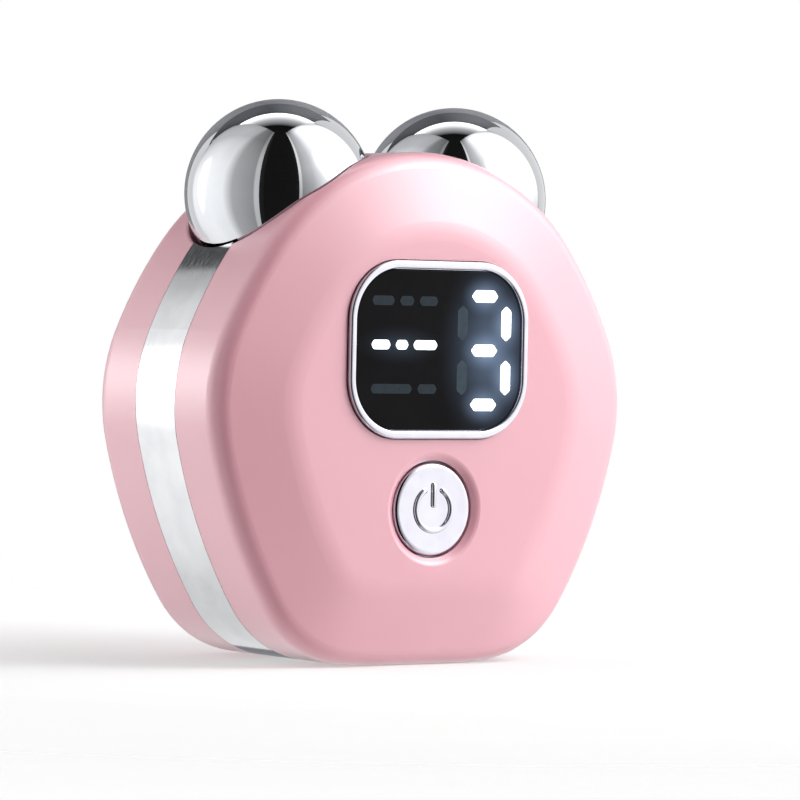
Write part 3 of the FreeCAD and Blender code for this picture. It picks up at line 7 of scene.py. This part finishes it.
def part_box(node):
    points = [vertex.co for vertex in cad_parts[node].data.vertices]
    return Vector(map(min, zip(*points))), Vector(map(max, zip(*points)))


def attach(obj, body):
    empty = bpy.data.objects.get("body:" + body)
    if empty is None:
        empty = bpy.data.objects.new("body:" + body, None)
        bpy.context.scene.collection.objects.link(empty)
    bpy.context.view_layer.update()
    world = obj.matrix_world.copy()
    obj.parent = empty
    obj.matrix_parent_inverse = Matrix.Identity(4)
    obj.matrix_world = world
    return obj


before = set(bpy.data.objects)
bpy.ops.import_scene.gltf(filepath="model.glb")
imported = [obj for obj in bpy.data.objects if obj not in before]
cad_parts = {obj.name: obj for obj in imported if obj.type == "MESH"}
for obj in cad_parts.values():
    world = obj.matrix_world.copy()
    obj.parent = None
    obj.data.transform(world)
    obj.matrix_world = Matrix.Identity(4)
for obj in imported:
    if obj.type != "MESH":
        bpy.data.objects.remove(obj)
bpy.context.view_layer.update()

MM = 0.001
UP = Vector((0, 0, 1))
scene = bpy.context.scene
scene.view_settings.view_transform = "Standard"


# Camera, at the angle of the photograph

AZIMUTH, ELEVATION, ROLL = math.radians(-35.19), math.radians(0.88), math.radians(-1.16)
DISTANCE, AIM_HEIGHT = 501 * MM, 29.94 * MM
AIM_RIGHT, AIM_UP = 3.94 * MM, -2.18 * MM
FOCAL_PIXELS, IMAGE_PIXELS, SENSOR = 4669.5, 800, 36
NEAREST, FARTHEST = 0.01, 20

to_camera = Vector((
    math.sin(AZIMUTH) * math.cos(ELEVATION),
    -math.cos(AZIMUTH) * math.cos(ELEVATION),
    math.sin(ELEVATION),
))
rightwards = Vector((math.cos(AZIMUTH), math.sin(AZIMUTH), 0))
upwards = to_camera.cross(rightwards)
eye = Vector((0, 0, AIM_HEIGHT)) + to_camera * DISTANCE
aim = Vector((0, 0, AIM_HEIGHT)) + rightwards * AIM_RIGHT + upwards * AIM_UP

back = (eye - aim).normalized()
across = (rightwards - back * rightwards.dot(back)).normalized()
above = back.cross(across)
turned_across = across * math.cos(ROLL) - above * math.sin(ROLL)
turned_above = across * math.sin(ROLL) + above * math.cos(ROLL)
camera = bpy.data.objects.new("camera", bpy.data.cameras.new("camera"))
camera.data.sensor_width = SENSOR
camera.data.lens = FOCAL_PIXELS / IMAGE_PIXELS * SENSOR
camera.data.clip_start, camera.data.clip_end = NEAREST, FARTHEST
view_turn = Matrix((turned_across, turned_above, back)).transposed().to_4x4()
camera.matrix_world = Matrix.Translation(eye) @ view_turn
scene.collection.objects.link(camera)
scene.camera = camera


# Materials

CLOUD_LOW, CLOUD_HIGH = 0.3, 0.7    # nearly all of a cloudy pattern lies between these
WAVE_RADIANS = 20                   # a wave pattern turns by so much over one unit


def colour(code):
    """An sRGB hex colour as linear red, green, blue and alpha."""
    parts = [int(code[i:i + 2], 16) / 255 for i in (1, 3, 5)]
    return [p / 12.92 if p <= 0.04045 else ((p + 0.055) / 1.055) ** 2.4 for p in parts] + [1]


def add(tree, kind, sockets=(), **settings):
    """Adds a node; a socket is given a value, or another node's output to be linked to."""
    node = tree.nodes.new("ShaderNode" + kind)
    for name, setting in settings.items():
        setattr(node, name, setting)
    for socket, given in dict(sockets).items():
        if isinstance(given, bpy.types.NodeSocket):
            tree.links.new(given, node.inputs[socket])
        else:
            node.inputs[socket].default_value = given
    return node


def per(size):
    """The texture scale at which one patch of a pattern is a size in millimetres."""
    return 1 / (size * MM)


class Surface:
    """A material with its shader, and the place of each point on the piece."""

    def __init__(self, name, **sockets):
        self.material = bpy.data.materials.new(name)
        self.material.use_nodes = True
        self.tree = self.material.node_tree
        self.shader = self.tree.nodes["Principled BSDF"]
        self.place = add(self.tree, "TexCoord").outputs["Object"]
        self.skin = None
        for socket, given in sockets.items():
            self.shader.inputs[socket.replace("_", " ")].default_value = given

    def set(self, socket, output):
        """Links an output to one of the shader's sockets."""
        self.tree.links.new(output, self.shader.inputs[socket])

    def patches(self, size, low=None, high=None, stretch=(1, 1, 1), detail=3):
        """A cloudy pattern with patches of a size in millimetres, spread from low to high where given."""
        drawn = add(self.tree, "Mapping", {"Vector": self.place, "Scale": stretch})
        cloud = add(self.tree, "TexNoise", {
            "Vector": drawn.outputs[0], "Scale": per(size), "Detail": detail,
        })
        if low is None:
            return cloud.outputs["Fac"]
        values = add(self.tree, "MapRange", {
            "Value": cloud.outputs["Fac"], "From Min": CLOUD_LOW, "From Max": CLOUD_HIGH,
            "To Min": low, "To Max": high,
        })
        return values.outputs[0]

    def gloss(self, size, low, high, **pattern):
        """Roughness that wanders between two values."""
        self.set("Roughness", self.patches(size, low, high, **pattern))

    def tint(self, pattern, first, second):
        """Colour that goes from the first to the second with a pattern."""
        blend = add(self.tree, "Mix", {0: pattern, 6: colour(first), 7: colour(second)}, data_type="RGBA")
        self.set("Base Color", blend.outputs[2])

    def lift(self, pattern, height, share=1.0):
        """Bumps of a height in millimetres, over those there already."""
        sockets = {"Height": pattern, "Distance": height * MM, "Strength": share}
        if self.skin:
            sockets["Normal"] = self.skin
        self.skin = add(self.tree, "Bump", sockets).outputs[0]
        self.set("Normal", self.skin)


# Pink lacquered ABS: moulded shells with a satin coat, so broad soft highlights, the faint
# unevenness of a sprayed colour and a fine orange-peel skin.
pink = Surface("satin_lacquered_ABS", Coat_Weight=1.0, Coat_Roughness=0.28, Coat_IOR=1.6, IOR=1.6)
pink.tint(pink.patches(14, 0, 1), "#de9eab", "#e1a1ae")
pink.gloss(6, 0.34, 0.38)
pink.lift(pink.patches(0.6, detail=2), 0.002, 0.35)

# Chrome plate on the rolling balls: polished and buffed, a clean mirror with a slightly cool tone
# and wipe marks, drawn coarser than real ones, that show only in the highlights.
ball_chrome = Surface("polished_chrome_plate", Metallic=1.0)
ball_chrome.tint(ball_chrome.patches(5, 0, 1), "#c2c4c8", "#cacccf")
ball_chrome.gloss(1.5, 0.02, 0.05, stretch=(1, 1, 6))
ball_chrome.lift(ball_chrome.patches(7, detail=1), 0.004, 0.2)

# Chrome plate on the moulded band: bright, with the shallow waves that plated plastic shows.
band_chrome = Surface("chrome_plated_ABS_band", Metallic=1.0)
band_chrome.tint(band_chrome.patches(4, 0, 1), "#c0c1c4", "#cbccce")
band_chrome.gloss(0.8, 0.05, 0.12, stretch=(1, 4, 1))
band_chrome.lift(band_chrome.patches(3, detail=1), 0.01, 0.25)

# Chrome plate on the bezel and button: the same plating over small sharp mouldings.
trim_chrome = Surface("chrome_plated_ABS_trim", Metallic=1.0)
trim_chrome.tint(trim_chrome.patches(2, 0, 1), "#cbcad3", "#d4d3dc")
trim_chrome.gloss(0.5, 0.06, 0.12)
trim_chrome.lift(trim_chrome.patches(1.5, detail=1), 0.003, 0.25)

# Smoked acrylic, printed black behind: dark and smooth with a dim, sharp gloss, and a painted cool glow
# round the lit fields that stands in for their light spreading through its thickness.
lens = Surface("smoked_acrylic_lens", Specular_IOR_Level=0.05, Emission_Color=colour("#8ea6c8"))
lens.tint(lens.patches(5, 0, 1), "#0d0c0e", "#131315")
lens.gloss(2.5, 0.05, 0.09)

# Lit windows in the print: milky diffuser film with a slightly uneven glow.
lit = Surface("lit_diffuser_film", Base_Color=colour("#f2f6fa"), Emission_Color=colour("#f6faff"))
lit.gloss(0.6, 0.3, 0.45)
lit.set("Emission Strength", lit.patches(0.9, 1.0, 1.3))

# Windows that are off: grey film with a faint painted glow, standing in for light caught from its neighbours,
# less of it in the rows.
unlit = Surface("unlit_diffuser_film", Specular_IOR_Level=0.05, Emission_Color=colour("#8fa6b8"))
faint = Surface("unlit_row_film", Specular_IOR_Level=0.05, Emission_Color=colour("#8fa6b8"))
for film, low, high in ((unlit, 0.15, 0.19), (faint, 0.08, 0.1)):
    film.tint(film.patches(0.5), "#0d0f11", "#14171a")
    film.gloss(0.6, 0.25, 0.4)
    # The faint painted glow.
    film.set("Emission Strength", film.patches(0.9, low, high))

# Closed-cell foam: dull, open and slightly speckled.
foam = Surface("closed_cell_foam")
foam.tint(foam.patches(0.4), "#2a2a2c", "#38383a")
foam.gloss(0.4, 0.8, 0.95)
foam.lift(foam.patches(0.3), 0.05)

# White-filled ABS of the light box: matt and bright.
light_box = Surface("white_filled_ABS")
light_box.tint(light_box.patches(3), "#e6e6e2", "#f2f2ee")
light_box.gloss(0.7, 0.5, 0.65)
light_box.lift(light_box.patches(0.5), 0.01)

# Green solder mask over copper: a gloss with the raised tracks under it.
board = Surface("solder_mask_on_glass_epoxy", Coat_Weight=0.4, Coat_Roughness=0.15)
tracks = add(
    board.tree, "TexVoronoi", {"Vector": board.place, "Scale": per(1.6)},
    distance="MANHATTAN", feature="DISTANCE_TO_EDGE",
)
track_edge = add(board.tree, "MapRange", {
    "Value": tracks.outputs["Distance"], "From Min": 0.05, "From Max": 0.09,
}).outputs[0]
board.tint(track_edge, "#0b4a2c", "#0f6a3e")
board.gloss(0.8, 0.25, 0.4)
board.lift(track_edge, 0.03)

# Moulded epoxy of chips and switches: matt black with a fine spark-eroded grain.
epoxy = Surface("moulded_black_epoxy")
epoxy.tint(epoxy.patches(0.3), "#151516", "#202021")
epoxy.gloss(0.3, 0.5, 0.7)
epoxy.lift(epoxy.patches(0.12), 0.01)

# Zinc-plated steel: cool grey with fine turning marks.
steel = Surface("zinc_plated_steel", Metallic=1.0)
steel.tint(steel.patches(1.2), "#b3b6ba", "#c9cbce")
steel.gloss(0.5, 0.22, 0.38, stretch=(1, 1, 5))
steel.lift(steel.patches(0.2, stretch=(1, 1, 6)), 0.006)

# Natural acetal of the switch plunger: waxy off-white.
acetal = Surface("natural_acetal", Subsurface_Weight=0.1)
acetal.tint(acetal.patches(1), "#e4e2da", "#efeee8")
acetal.gloss(0.6, 0.35, 0.5)

# Laminated pouch foil of the cell: dull aluminium with soft wrinkles.
pouch = Surface("aluminium_pouch_foil", Metallic=0.9)
pouch.tint(pouch.patches(4), "#a7a9ac", "#c3c5c8")
pouch.gloss(2, 0.3, 0.48)
pouch.lift(pouch.patches(3.5, stretch=(1, 1, 0.5)), 0.12)

# Bearing brass: warm, turned, dulled a little in patches.
brass = Surface("turned_brass", Metallic=1.0)
brass.tint(brass.patches(1.6), "#b08d4a", "#cfae68")
brass.gloss(0.6, 0.2, 0.36, stretch=(1, 1, 5))
brass.lift(brass.patches(0.25, stretch=(1, 1, 6)), 0.008)

# Silicone rubber boot: dull and dusty grey.
rubber = Surface("silicone_rubber")
rubber.tint(rubber.patches(1.5), "#4a4a4d", "#59595c")
rubber.gloss(0.6, 0.6, 0.8)
rubber.lift(rubber.patches(0.25), 0.02)

# Die-cast zinc of the bracket: grey, grainy, with flow marks.
casting = Surface("die_cast_zinc", Metallic=1.0)
casting.tint(casting.patches(2.5), "#8f9195", "#a9abae")
casting.gloss(0.8, 0.4, 0.58)
casting.lift(casting.patches(0.4), 0.03)

# Polyimide heater film: clear amber over etched foil lines, about 2 mm apart.
amber = Surface("polyimide_film", Coat_Weight=0.6, Coat_Roughness=0.1)
foil_lines = add(
    amber.tree, "TexWave",
    {"Vector": amber.place, "Scale": per(2.17) * math.tau / WAVE_RADIANS, "Distortion": 0.4},
    bands_direction="Z",
)
foil_edge = add(amber.tree, "MapRange", {
    "Value": foil_lines.outputs["Fac"], "From Min": 0.45, "From Max": 0.55,
}).outputs[0]
amber.tint(foil_edge, "#a8631a", "#d08a2c")
amber.gloss(0.8, 0.2, 0.32)

finishes = {
    pink: ["front_shell", "rear_shell"],
    ball_chrome: ["roller_ball_left", "roller_ball_right"],
    band_chrome: ["side_band"],
    trim_chrome: ["display_bezel", "power_button"],
    lens: ["display_lens"],
    lit: ["digit_segments", "mode_bars"],
    foam: ["display_gasket", "battery_pad"],
    light_box: ["display_reflector"],
    board: ["main_board", "charge_board"],
    epoxy: ["board_chips", "tact_switch", "usb_tongue"],
    steel: [
        "board_screws", "charge_screws", "bracket_screws", "usb_c_socket", "vibration_motor", "motor_shaft",
        "roller_axle_left", "roller_axle_right", "axle_clip_left", "axle_clip_right",
    ],
    acetal: ["switch_plunger"],
    pouch: ["battery_cell"],
    brass: [
        "motor_weight", "axle_bush_left", "axle_bush_right",
        "electrode_spring_left", "electrode_spring_right",
    ],
    rubber: ["motor_boot"],
    casting: ["axle_bracket"],
    amber: ["heater_film"],
}
for surface, nodes in finishes.items():
    for node in nodes:
        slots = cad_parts[node].data.materials
        slots.clear()
        slots.append(surface.material)


# Display: windows in the lens print, a hair proud of the lens

MERGE_DISTANCE = 1e-7
WINDOW_PROUD, WINDOW_DEPTH, WINDOW_CORNER = 0.02 * MM, 0.06 * MM, 0.16 * MM
WINDOW_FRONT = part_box("display_lens")[0].y - WINDOW_PROUD


def finished(name, shape, surface):
    """An object with a shape's mesh and one material."""
    mesh = bpy.data.meshes.new(name)
    shape.to_mesh(mesh)
    shape.free()
    mesh.materials.append(surface.material)
    made = bpy.data.objects.new(name, mesh)
    scene.collection.objects.link(made)
    return made


def piece(name, shape, surface, body):
    """A finished mesh that rides on a body."""
    bmesh.ops.remove_doubles(shape, verts=shape.verts, dist=MERGE_DISTANCE)
    bmesh.ops.recalc_face_normals(shape, faces=shape.faces)
    made = finished(name, shape, surface)
    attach(made, body)
    return made


def window(shape, centre, length, thick, upright, point):
    """A flat field in the front view with pointed, softened ends, whose face stands proud of the lens."""
    half, side = length / 2, thick / 2
    outline = [
        (-half, 0), (-half + point, -side), (half - point, -side),
        (half, 0), (half - point, side), (-half + point, side),
    ]
    corners = []
    for along, over in outline:
        x, z = (over, along) if upright else (along, over)
        corners.append(shape.verts.new((centre[0] + x, WINDOW_FRONT, centre[1] + z)))
    shape.faces.new(corners)
    bmesh.ops.bevel(
        shape, geom=corners, offset=WINDOW_CORNER, segments=3, profile=0.5, affect="VERTICES", material=-1,
    )
    # The largest face of the shape is sunk: where an earlier field is as large, that one may go deeper
    # instead, and this one stays a flat sheet.
    field = max(shape.faces, key=lambda face: face.calc_area())
    sunk = bmesh.ops.extrude_face_region(shape, geom=[field])
    moved = [v for v in sunk["geom"] if isinstance(v, bmesh.types.BMVert)]
    bmesh.ops.translate(shape, verts=moved, vec=(0, WINDOW_DEPTH, 0))


FIELD_THICK, FIELD_LONG, FIELD_TALL = 1.3 * MM, 3.5 * MM, 3.75 * MM
FIELD_POINT = 0.42 * FIELD_THICK
digit_low, digit_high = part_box("digit_segments")
digit_x, digit_z = (digit_low.x + digit_high.x) / 2, (digit_low.z + digit_high.z) / 2
half_wide = (digit_high.x - digit_low.x - FIELD_THICK) / 2
half_tall = (digit_high.z - digit_low.z - FIELD_THICK) / 2
lit_fields = [
    ((digit_x, digit_z + half_tall), FIELD_LONG, False),
    ((digit_x, digit_z), FIELD_LONG, False),
    ((digit_x, digit_z - half_tall), FIELD_LONG, False),
    ((digit_x + half_wide, digit_z + half_tall / 2), FIELD_TALL, True),
    ((digit_x + half_wide, digit_z - half_tall / 2), FIELD_TALL, True),
]
unlit_fields = [
    ((digit_x - half_wide, digit_z + half_tall / 2), FIELD_TALL, True),
    ((digit_x - half_wide, digit_z - half_tall / 2), FIELD_TALL, True),
]
for name, fields, surface in (
    ("digit_lit_windows", lit_fields, lit),
    ("digit_unlit_windows", unlit_fields, unlit),
):
    shape = bmesh.new()
    for centre, length, upright in fields:
        window(shape, centre, length, FIELD_THICK, upright, FIELD_POINT)
    piece(name, shape, surface, "housing")

# Rows of bars: their lengths in millimetres, before each row is stretched to the width of the bars' box
BAR_RUNS = [(2.6, 1.7, 2.2), (2.2, 1.5, 2.8), (4.4, 2.1)]
BAR_THICK, BAR_GAP, ROW_INSET = 1.0 * MM, 0.55 * MM, 0.55 * MM
BAR_POINT = 0.3 * BAR_THICK
bars_low, bars_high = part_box("mode_bars")
bar_rows = [bars_high.z - ROW_INSET, (bars_low.z + bars_high.z) / 2, bars_low.z + ROW_INSET]
for number, (height, runs, surface) in enumerate(zip(bar_rows, BAR_RUNS, (faint, lit, faint)), 1):
    shape = bmesh.new()
    total = sum(runs) * MM + BAR_GAP * (len(runs) - 1)
    stretch = (bars_high.x - bars_low.x) / total
    x = bars_low.x
    for run in runs:
        length = run * MM * stretch
        window(shape, (x + length / 2, height), length, BAR_THICK, False, BAR_POINT)
        x += length + BAR_GAP * stretch
    piece(f"mode_row_{number}", shape, surface, "housing")

# Painted glow in the lens round the lit fields, standing in for their light spreading into it: half widths
# and half heights in millimetres
LYING_HALO, UPRIGHT_HALO, FIELD_GLOW = (3.4, 2.5), (2.5, 3.6), 0.75
DIGIT_HALO, DIGIT_GLOW, DIGIT_SHIFT = (7.5, 12), 0.42, 1 * MM
ROW_HALO, ROW_GLOW, ROW_X = (6.5, 2.4), 0.12, -5 * MM
painted_glows = [
    (centre, UPRIGHT_HALO if upright else LYING_HALO, FIELD_GLOW) for centre, _, upright in lit_fields
]
painted_glows.append(((digit_x + DIGIT_SHIFT, digit_z), DIGIT_HALO, DIGIT_GLOW))
painted_glows.append(((ROW_X, bar_rows[1]), ROW_HALO, ROW_GLOW))
glow = 0
for (x, z), (wide, tall), strength in painted_glows:
    size = (wide * MM, 1, tall * MM)
    flat = add(lens.tree, "Mapping", {
        "Vector": lens.place,
        "Location": [-c / s for c, s in zip((x, 0, z), size)],
        "Scale": [1 / s for s in size],
    })
    halo = add(lens.tree, "TexGradient", {"Vector": flat.outputs[0]}, gradient_type="QUADRATIC_SPHERE")
    glow = add(lens.tree, "Math", {
        0: halo.outputs["Fac"], 1: strength, 2: glow,
    }, operation="MULTIPLY_ADD").outputs[0]
# The lens's emission is only this painted glow.
lens.set("Emission Strength", glow)


# Power sign on the button: a raised bead, open at the top, and a stroke

RING, BEAD, OPENING = 2.26 * MM, 0.3 * MM, math.radians(30)
STROKE_LOW, STROKE_HIGH = 0.45 * MM, 2.55 * MM
BEAD_SIDES, END_STEPS, RING_STEPS = 16, 10, 56
button_low, button_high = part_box("power_button")
button_face = Vector((0, button_low.y, (button_low.z + button_high.z) / 2))

shape = bmesh.new()
section = bmesh.ops.create_circle(shape, cap_ends=False, segments=BEAD_SIDES, radius=BEAD)["verts"]
bmesh.ops.transform(
    shape,
    verts=section,
    matrix=Matrix.Translation(button_face + UP * RING) @ Matrix.Rotation(math.pi / 2, 4, "Y"),
)
bmesh.ops.rotate(shape, verts=section, cent=button_face, matrix=Matrix.Rotation(OPENING, 3, "Y"))
bmesh.ops.spin(
    shape,
    geom=[*section, *shape.edges],
    cent=button_face,
    axis=(0, 1, 0),
    angle=2 * (math.pi - OPENING),
    steps=RING_STEPS,
)
bmesh.ops.holes_fill(shape, edges=shape.edges, sides=BEAD_SIDES)
bmesh.ops.create_cone(
    shape,
    cap_ends=True,
    segments=BEAD_SIDES,
    radius1=BEAD,
    radius2=BEAD,
    depth=STROKE_HIGH - STROKE_LOW,
    matrix=Matrix.Translation(button_face + UP * (STROKE_LOW + STROKE_HIGH) / 2),
)
bead_ends = [RING * Vector((math.sin(turn), 0, math.cos(turn))) for turn in (OPENING, -OPENING)]
bead_ends += [UP * STROKE_LOW, UP * STROKE_HIGH]
for end in bead_ends:
    bmesh.ops.create_uvsphere(
        shape,
        u_segments=BEAD_SIDES,
        v_segments=END_STEPS,
        radius=BEAD,
        matrix=Matrix.Translation(button_face + end),
    )
sign = piece("power_sign", shape, trim_chrome, "button")
sign.data.shade_smooth()


# Studio: a pale floor that fades into the white surround, two side softboxes, one overhead, and cards

FLOOR_RADIUS, FLOOR_SIDES = 0.165, 96
FADE_RADIUS, FADE_START, FADE_END, FLOOR_SHARE = 0.16, 0.02, 0.6, 0.6

floor_look = Surface("pale_paper_floor", Roughness=0.9)
floor_look.tint(floor_look.patches(40), "#f4f4f4", "#f8f8f8")
fade = add(floor_look.tree, "Mapping", {
    "Vector": floor_look.place, "Scale": (1 / FADE_RADIUS, 1 / FADE_RADIUS, 1),
})
round_fade = add(floor_look.tree, "TexGradient", {"Vector": fade.outputs[0]}, gradient_type="SPHERICAL")
seen = add(floor_look.tree, "MapRange", {
    "Value": round_fade.outputs["Fac"], "From Min": FADE_START, "From Max": FADE_END, "To Max": FLOOR_SHARE,
})
clear = add(floor_look.tree, "BsdfTransparent")
edge = add(floor_look.tree, "MixShader", {
    0: seen.outputs[0], 1: clear.outputs[0], 2: floor_look.shader.outputs[0],
})
floor_look.tree.links.new(edge.outputs[0], floor_look.tree.nodes["Material Output"].inputs["Surface"])

shape = bmesh.new()
bmesh.ops.create_circle(shape, cap_ends=True, segments=FLOOR_SIDES, radius=FLOOR_RADIUS)
floor = finished("floor", shape, floor_look)
floor.visible_glossy = False

level_camera = Vector((to_camera.x, to_camera.y, 0)).normalized()

# Black cloth: dull and deep, so that it shows in the chrome as a dark edge.
black_cloth = Surface("black_cotton_cloth", Base_Color=colour("#020202"), Roughness=0.9)


def graded_cloth(name, sides, left_tone, right_tone):
    """A dull grey cloth whose tone runs from its left side to its right, a soft shade in the chrome."""
    cloth = Surface(name + "_cloth", Roughness=0.9)
    place = add(cloth.tree, "VectorMath", {0: cloth.place, 1: rightwards}, operation="DOT_PRODUCT")
    share = add(cloth.tree, "MapRange", {
        "Value": place.outputs["Value"], "From Min": sides[0], "From Max": sides[1],
    })
    cloth.tint(share.outputs[0], left_tone, right_tone)
    return cloth


def card(name, shape, cloth):
    """A cloth that only tones the reflections: the camera doesn't see it."""
    made = finished(name, shape, cloth)
    made.visible_camera = False


def studio(right, front, high):
    """Metres to the camera's right, towards the camera and upwards, as one vector."""
    return rightwards * right + level_camera * front + UP * high


BACK_SIZE, BACK_GAP = 1.06, 0.01    # the back cloth's sides as a share of the lamp's, and metres between them


def softbox(name, corner, side, rise, along, over, hot_place=(0.5, 0.5), hot_reach=(0.5, 0.5), hot=0):
    """A flat lamp between two sides from a corner, with a black cloth behind it that shows as a dark edge.

    Its radiance is that of the levels along its side times that of the levels over its rise, each at its
    share of the way, and the hot spot adds to it; the spot's place and reach are shares of the two sides."""
    wide, tall = side.length, rise.length
    lamp = bpy.data.lights.new(name, "AREA")
    lamp.shape, lamp.size, lamp.size_y = "RECTANGLE", wide, tall
    lamp.energy = math.pi * wide * tall
    lamp.use_nodes = True
    tree = lamp.node_tree
    where = add(tree, "NewGeometry").outputs["Parametric"]
    shares = add(tree, "SeparateXYZ", {0: where}).outputs
    even = add(tree, "Math", operation="MULTIPLY")
    for way, levels in enumerate((along, over)):
        ramp = add(tree, "ValToRGB", {0: shares[way]})
        marks = ramp.color_ramp.elements
        for stop, _ in levels[1:-1]:
            marks.new(stop)
        for mark, (stop, level) in zip(marks, levels):
            mark.position, mark.color = stop, (level, level, level, 1)
        tree.links.new(ramp.outputs[0], even.inputs[way])
    flat = add(tree, "Mapping", {
        "Vector": where,
        "Location": [*(-c / r for c, r in zip(hot_place, hot_reach)), 0],
        "Scale": [*(1 / r for r in hot_reach), 0],
    })
    spot = add(tree, "TexGradient", {"Vector": flat.outputs[0]}, gradient_type="QUADRATIC_SPHERE")
    light = add(tree, "Math", {0: spot.outputs["Fac"], 1: hot, 2: even.outputs[0]}, operation="MULTIPLY_ADD")
    tree.links.new(light.outputs[0], tree.nodes["Emission"].inputs["Strength"])
    sideways, upright = side.normalized(), rise.normalized()
    stand = Matrix.Translation(corner + (side + rise) / 2)
    stand @= Matrix((sideways, upright, sideways.cross(upright))).transposed().to_4x4()
    made = bpy.data.objects.new(name, lamp)
    made.matrix_world = stand
    scene.collection.objects.link(made)
    shape = bmesh.new()
    behind = Matrix.Translation((0, 0, BACK_GAP))
    larger = Matrix.Diagonal((wide * BACK_SIZE, tall * BACK_SIZE, 1, 1))
    bmesh.ops.create_grid(shape, x_segments=1, y_segments=1, size=0.5, matrix=stand @ behind @ larger)
    card(name + "_back", shape, black_cloth)


PANEL_FOOT, PANEL_HEIGHT, TOP_HEIGHT = -1.02, 2.46, 1.5

softbox(
    "left_softbox", studio(-0.987, -0.789, PANEL_FOOT), studio(0.855, 1.089, 0), UP * PANEL_HEIGHT,
    along=(
        (0, 1.3), (0.3, 1.6), (0.7, 1.6), (0.82, 1.4),
        (0.87, 0.65), (0.97, 0.45), (0.975, 0.85), (1, 0.85),
    ),
    over=((0, 0.6), (0.25, 0.8), (0.43, 1), (0.5, 0.95), (0.65, 0.5), (1, 0.35)),
    hot_place=(0.57, 0.46), hot_reach=(0.13, 0.09), hot=7,
)
softbox(
    "right_softbox", studio(0.132, 0.3, PANEL_FOOT), studio(0.528, -0.915, 0), UP * PANEL_HEIGHT,
    along=(
        (0, 0.85), (0.02, 0.85), (0.025, 0.4), (0.1, 0.65), (0.22, 1.75),
        (0.4, 2.2), (0.6, 1.6), (0.8, 1.5), (1, 0.5),
    ),
    over=((0, 0.4), (0.3, 0.6), (0.43, 0.85), (0.5, 1.4), (0.6, 1.5), (0.8, 1.2), (1, 0.5)),
    hot_place=(0.285, 0.515), hot_reach=(0.17, 0.075), hot=13,
)
softbox(
    "top_softbox", studio(0.9, 0, TOP_HEIGHT), studio(0, -0.645, 0), studio(-2.025, 0, 0),
    along=((0, 0.05), (0.4, 0.7), (1, 3)),
    over=((0, 1), (1, 1)),
)

FLAG_STEPS, FLAG_REACH, CARD_REACH = 16, 2.0, 1.75
FRONT_ANGLES, HIGH_ANGLES, BACK_ANGLES = (-60, 112), (113, 140), (140, 203)


def flag(name, cloth, sides, reach, low, high):
    """A card bent round the object, from one angle to another in degrees: 0 is in front and 90 overhead."""
    start, turn = math.radians(low), math.radians(high - low)
    shape = bmesh.new()
    first = level_camera * math.cos(start) + UP * math.sin(start)
    ends = [shape.verts.new(first * reach + rightwards * side) for side in sides]
    line = shape.edges.new(ends)
    bmesh.ops.spin(
        shape, geom=[line, *ends], cent=(0, 0, 0), axis=rightwards, angle=-turn, steps=FLAG_STEPS,
    )
    card(name, shape, cloth)


flag("front_flag", black_cloth, (-1.2, 1.2), FLAG_REACH, *FRONT_ANGLES)
for name, sides, angles, tones in (
    ("high_left_card", (-2.4, -0.2), HIGH_ANGLES, ("#d4d6da", "#75777c")),
    ("high_right_card", (-0.2, 0.7), HIGH_ANGLES, ("#75777c", "#d4d6da")),
    ("left_back_card", (-1.1, -0.2), BACK_ANGLES, ("#f4f5f8", "#a8aab0")),
    ("right_back_card", (-0.2, 0.5), BACK_ANGLES, ("#a8aab0", "#f4f5f8")),
):
    flag(name, graded_cloth(name, sides, *tones), sides, CARD_REACH, *angles)

# The surround is white where it is seen or mirrored, and lights the object only a little
FILL_LEVEL, WHITE_LEVEL = 0.05, 1.0
world = bpy.data.worlds.new("studio_surround")
scene.world = world
world.use_nodes = True
surround = world.node_tree.nodes["Background"]
surround.inputs["Color"].default_value = colour("#ffffff")
ray = add(world.node_tree, "LightPath").outputs
shown = ray["Is Camera Ray"]
for kind in ("Is Glossy Ray", "Is Transmission Ray"):
    shown = add(world.node_tree, "Math", {0: shown, 1: ray[kind]}, operation="MAXIMUM").outputs[0]
level = add(world.node_tree, "MapRange", {"Value": shown, "To Min": FILL_LEVEL, "To Max": WHITE_LEVEL})
world.node_tree.links.new(level.outputs[0], surround.inputs["Strength"])
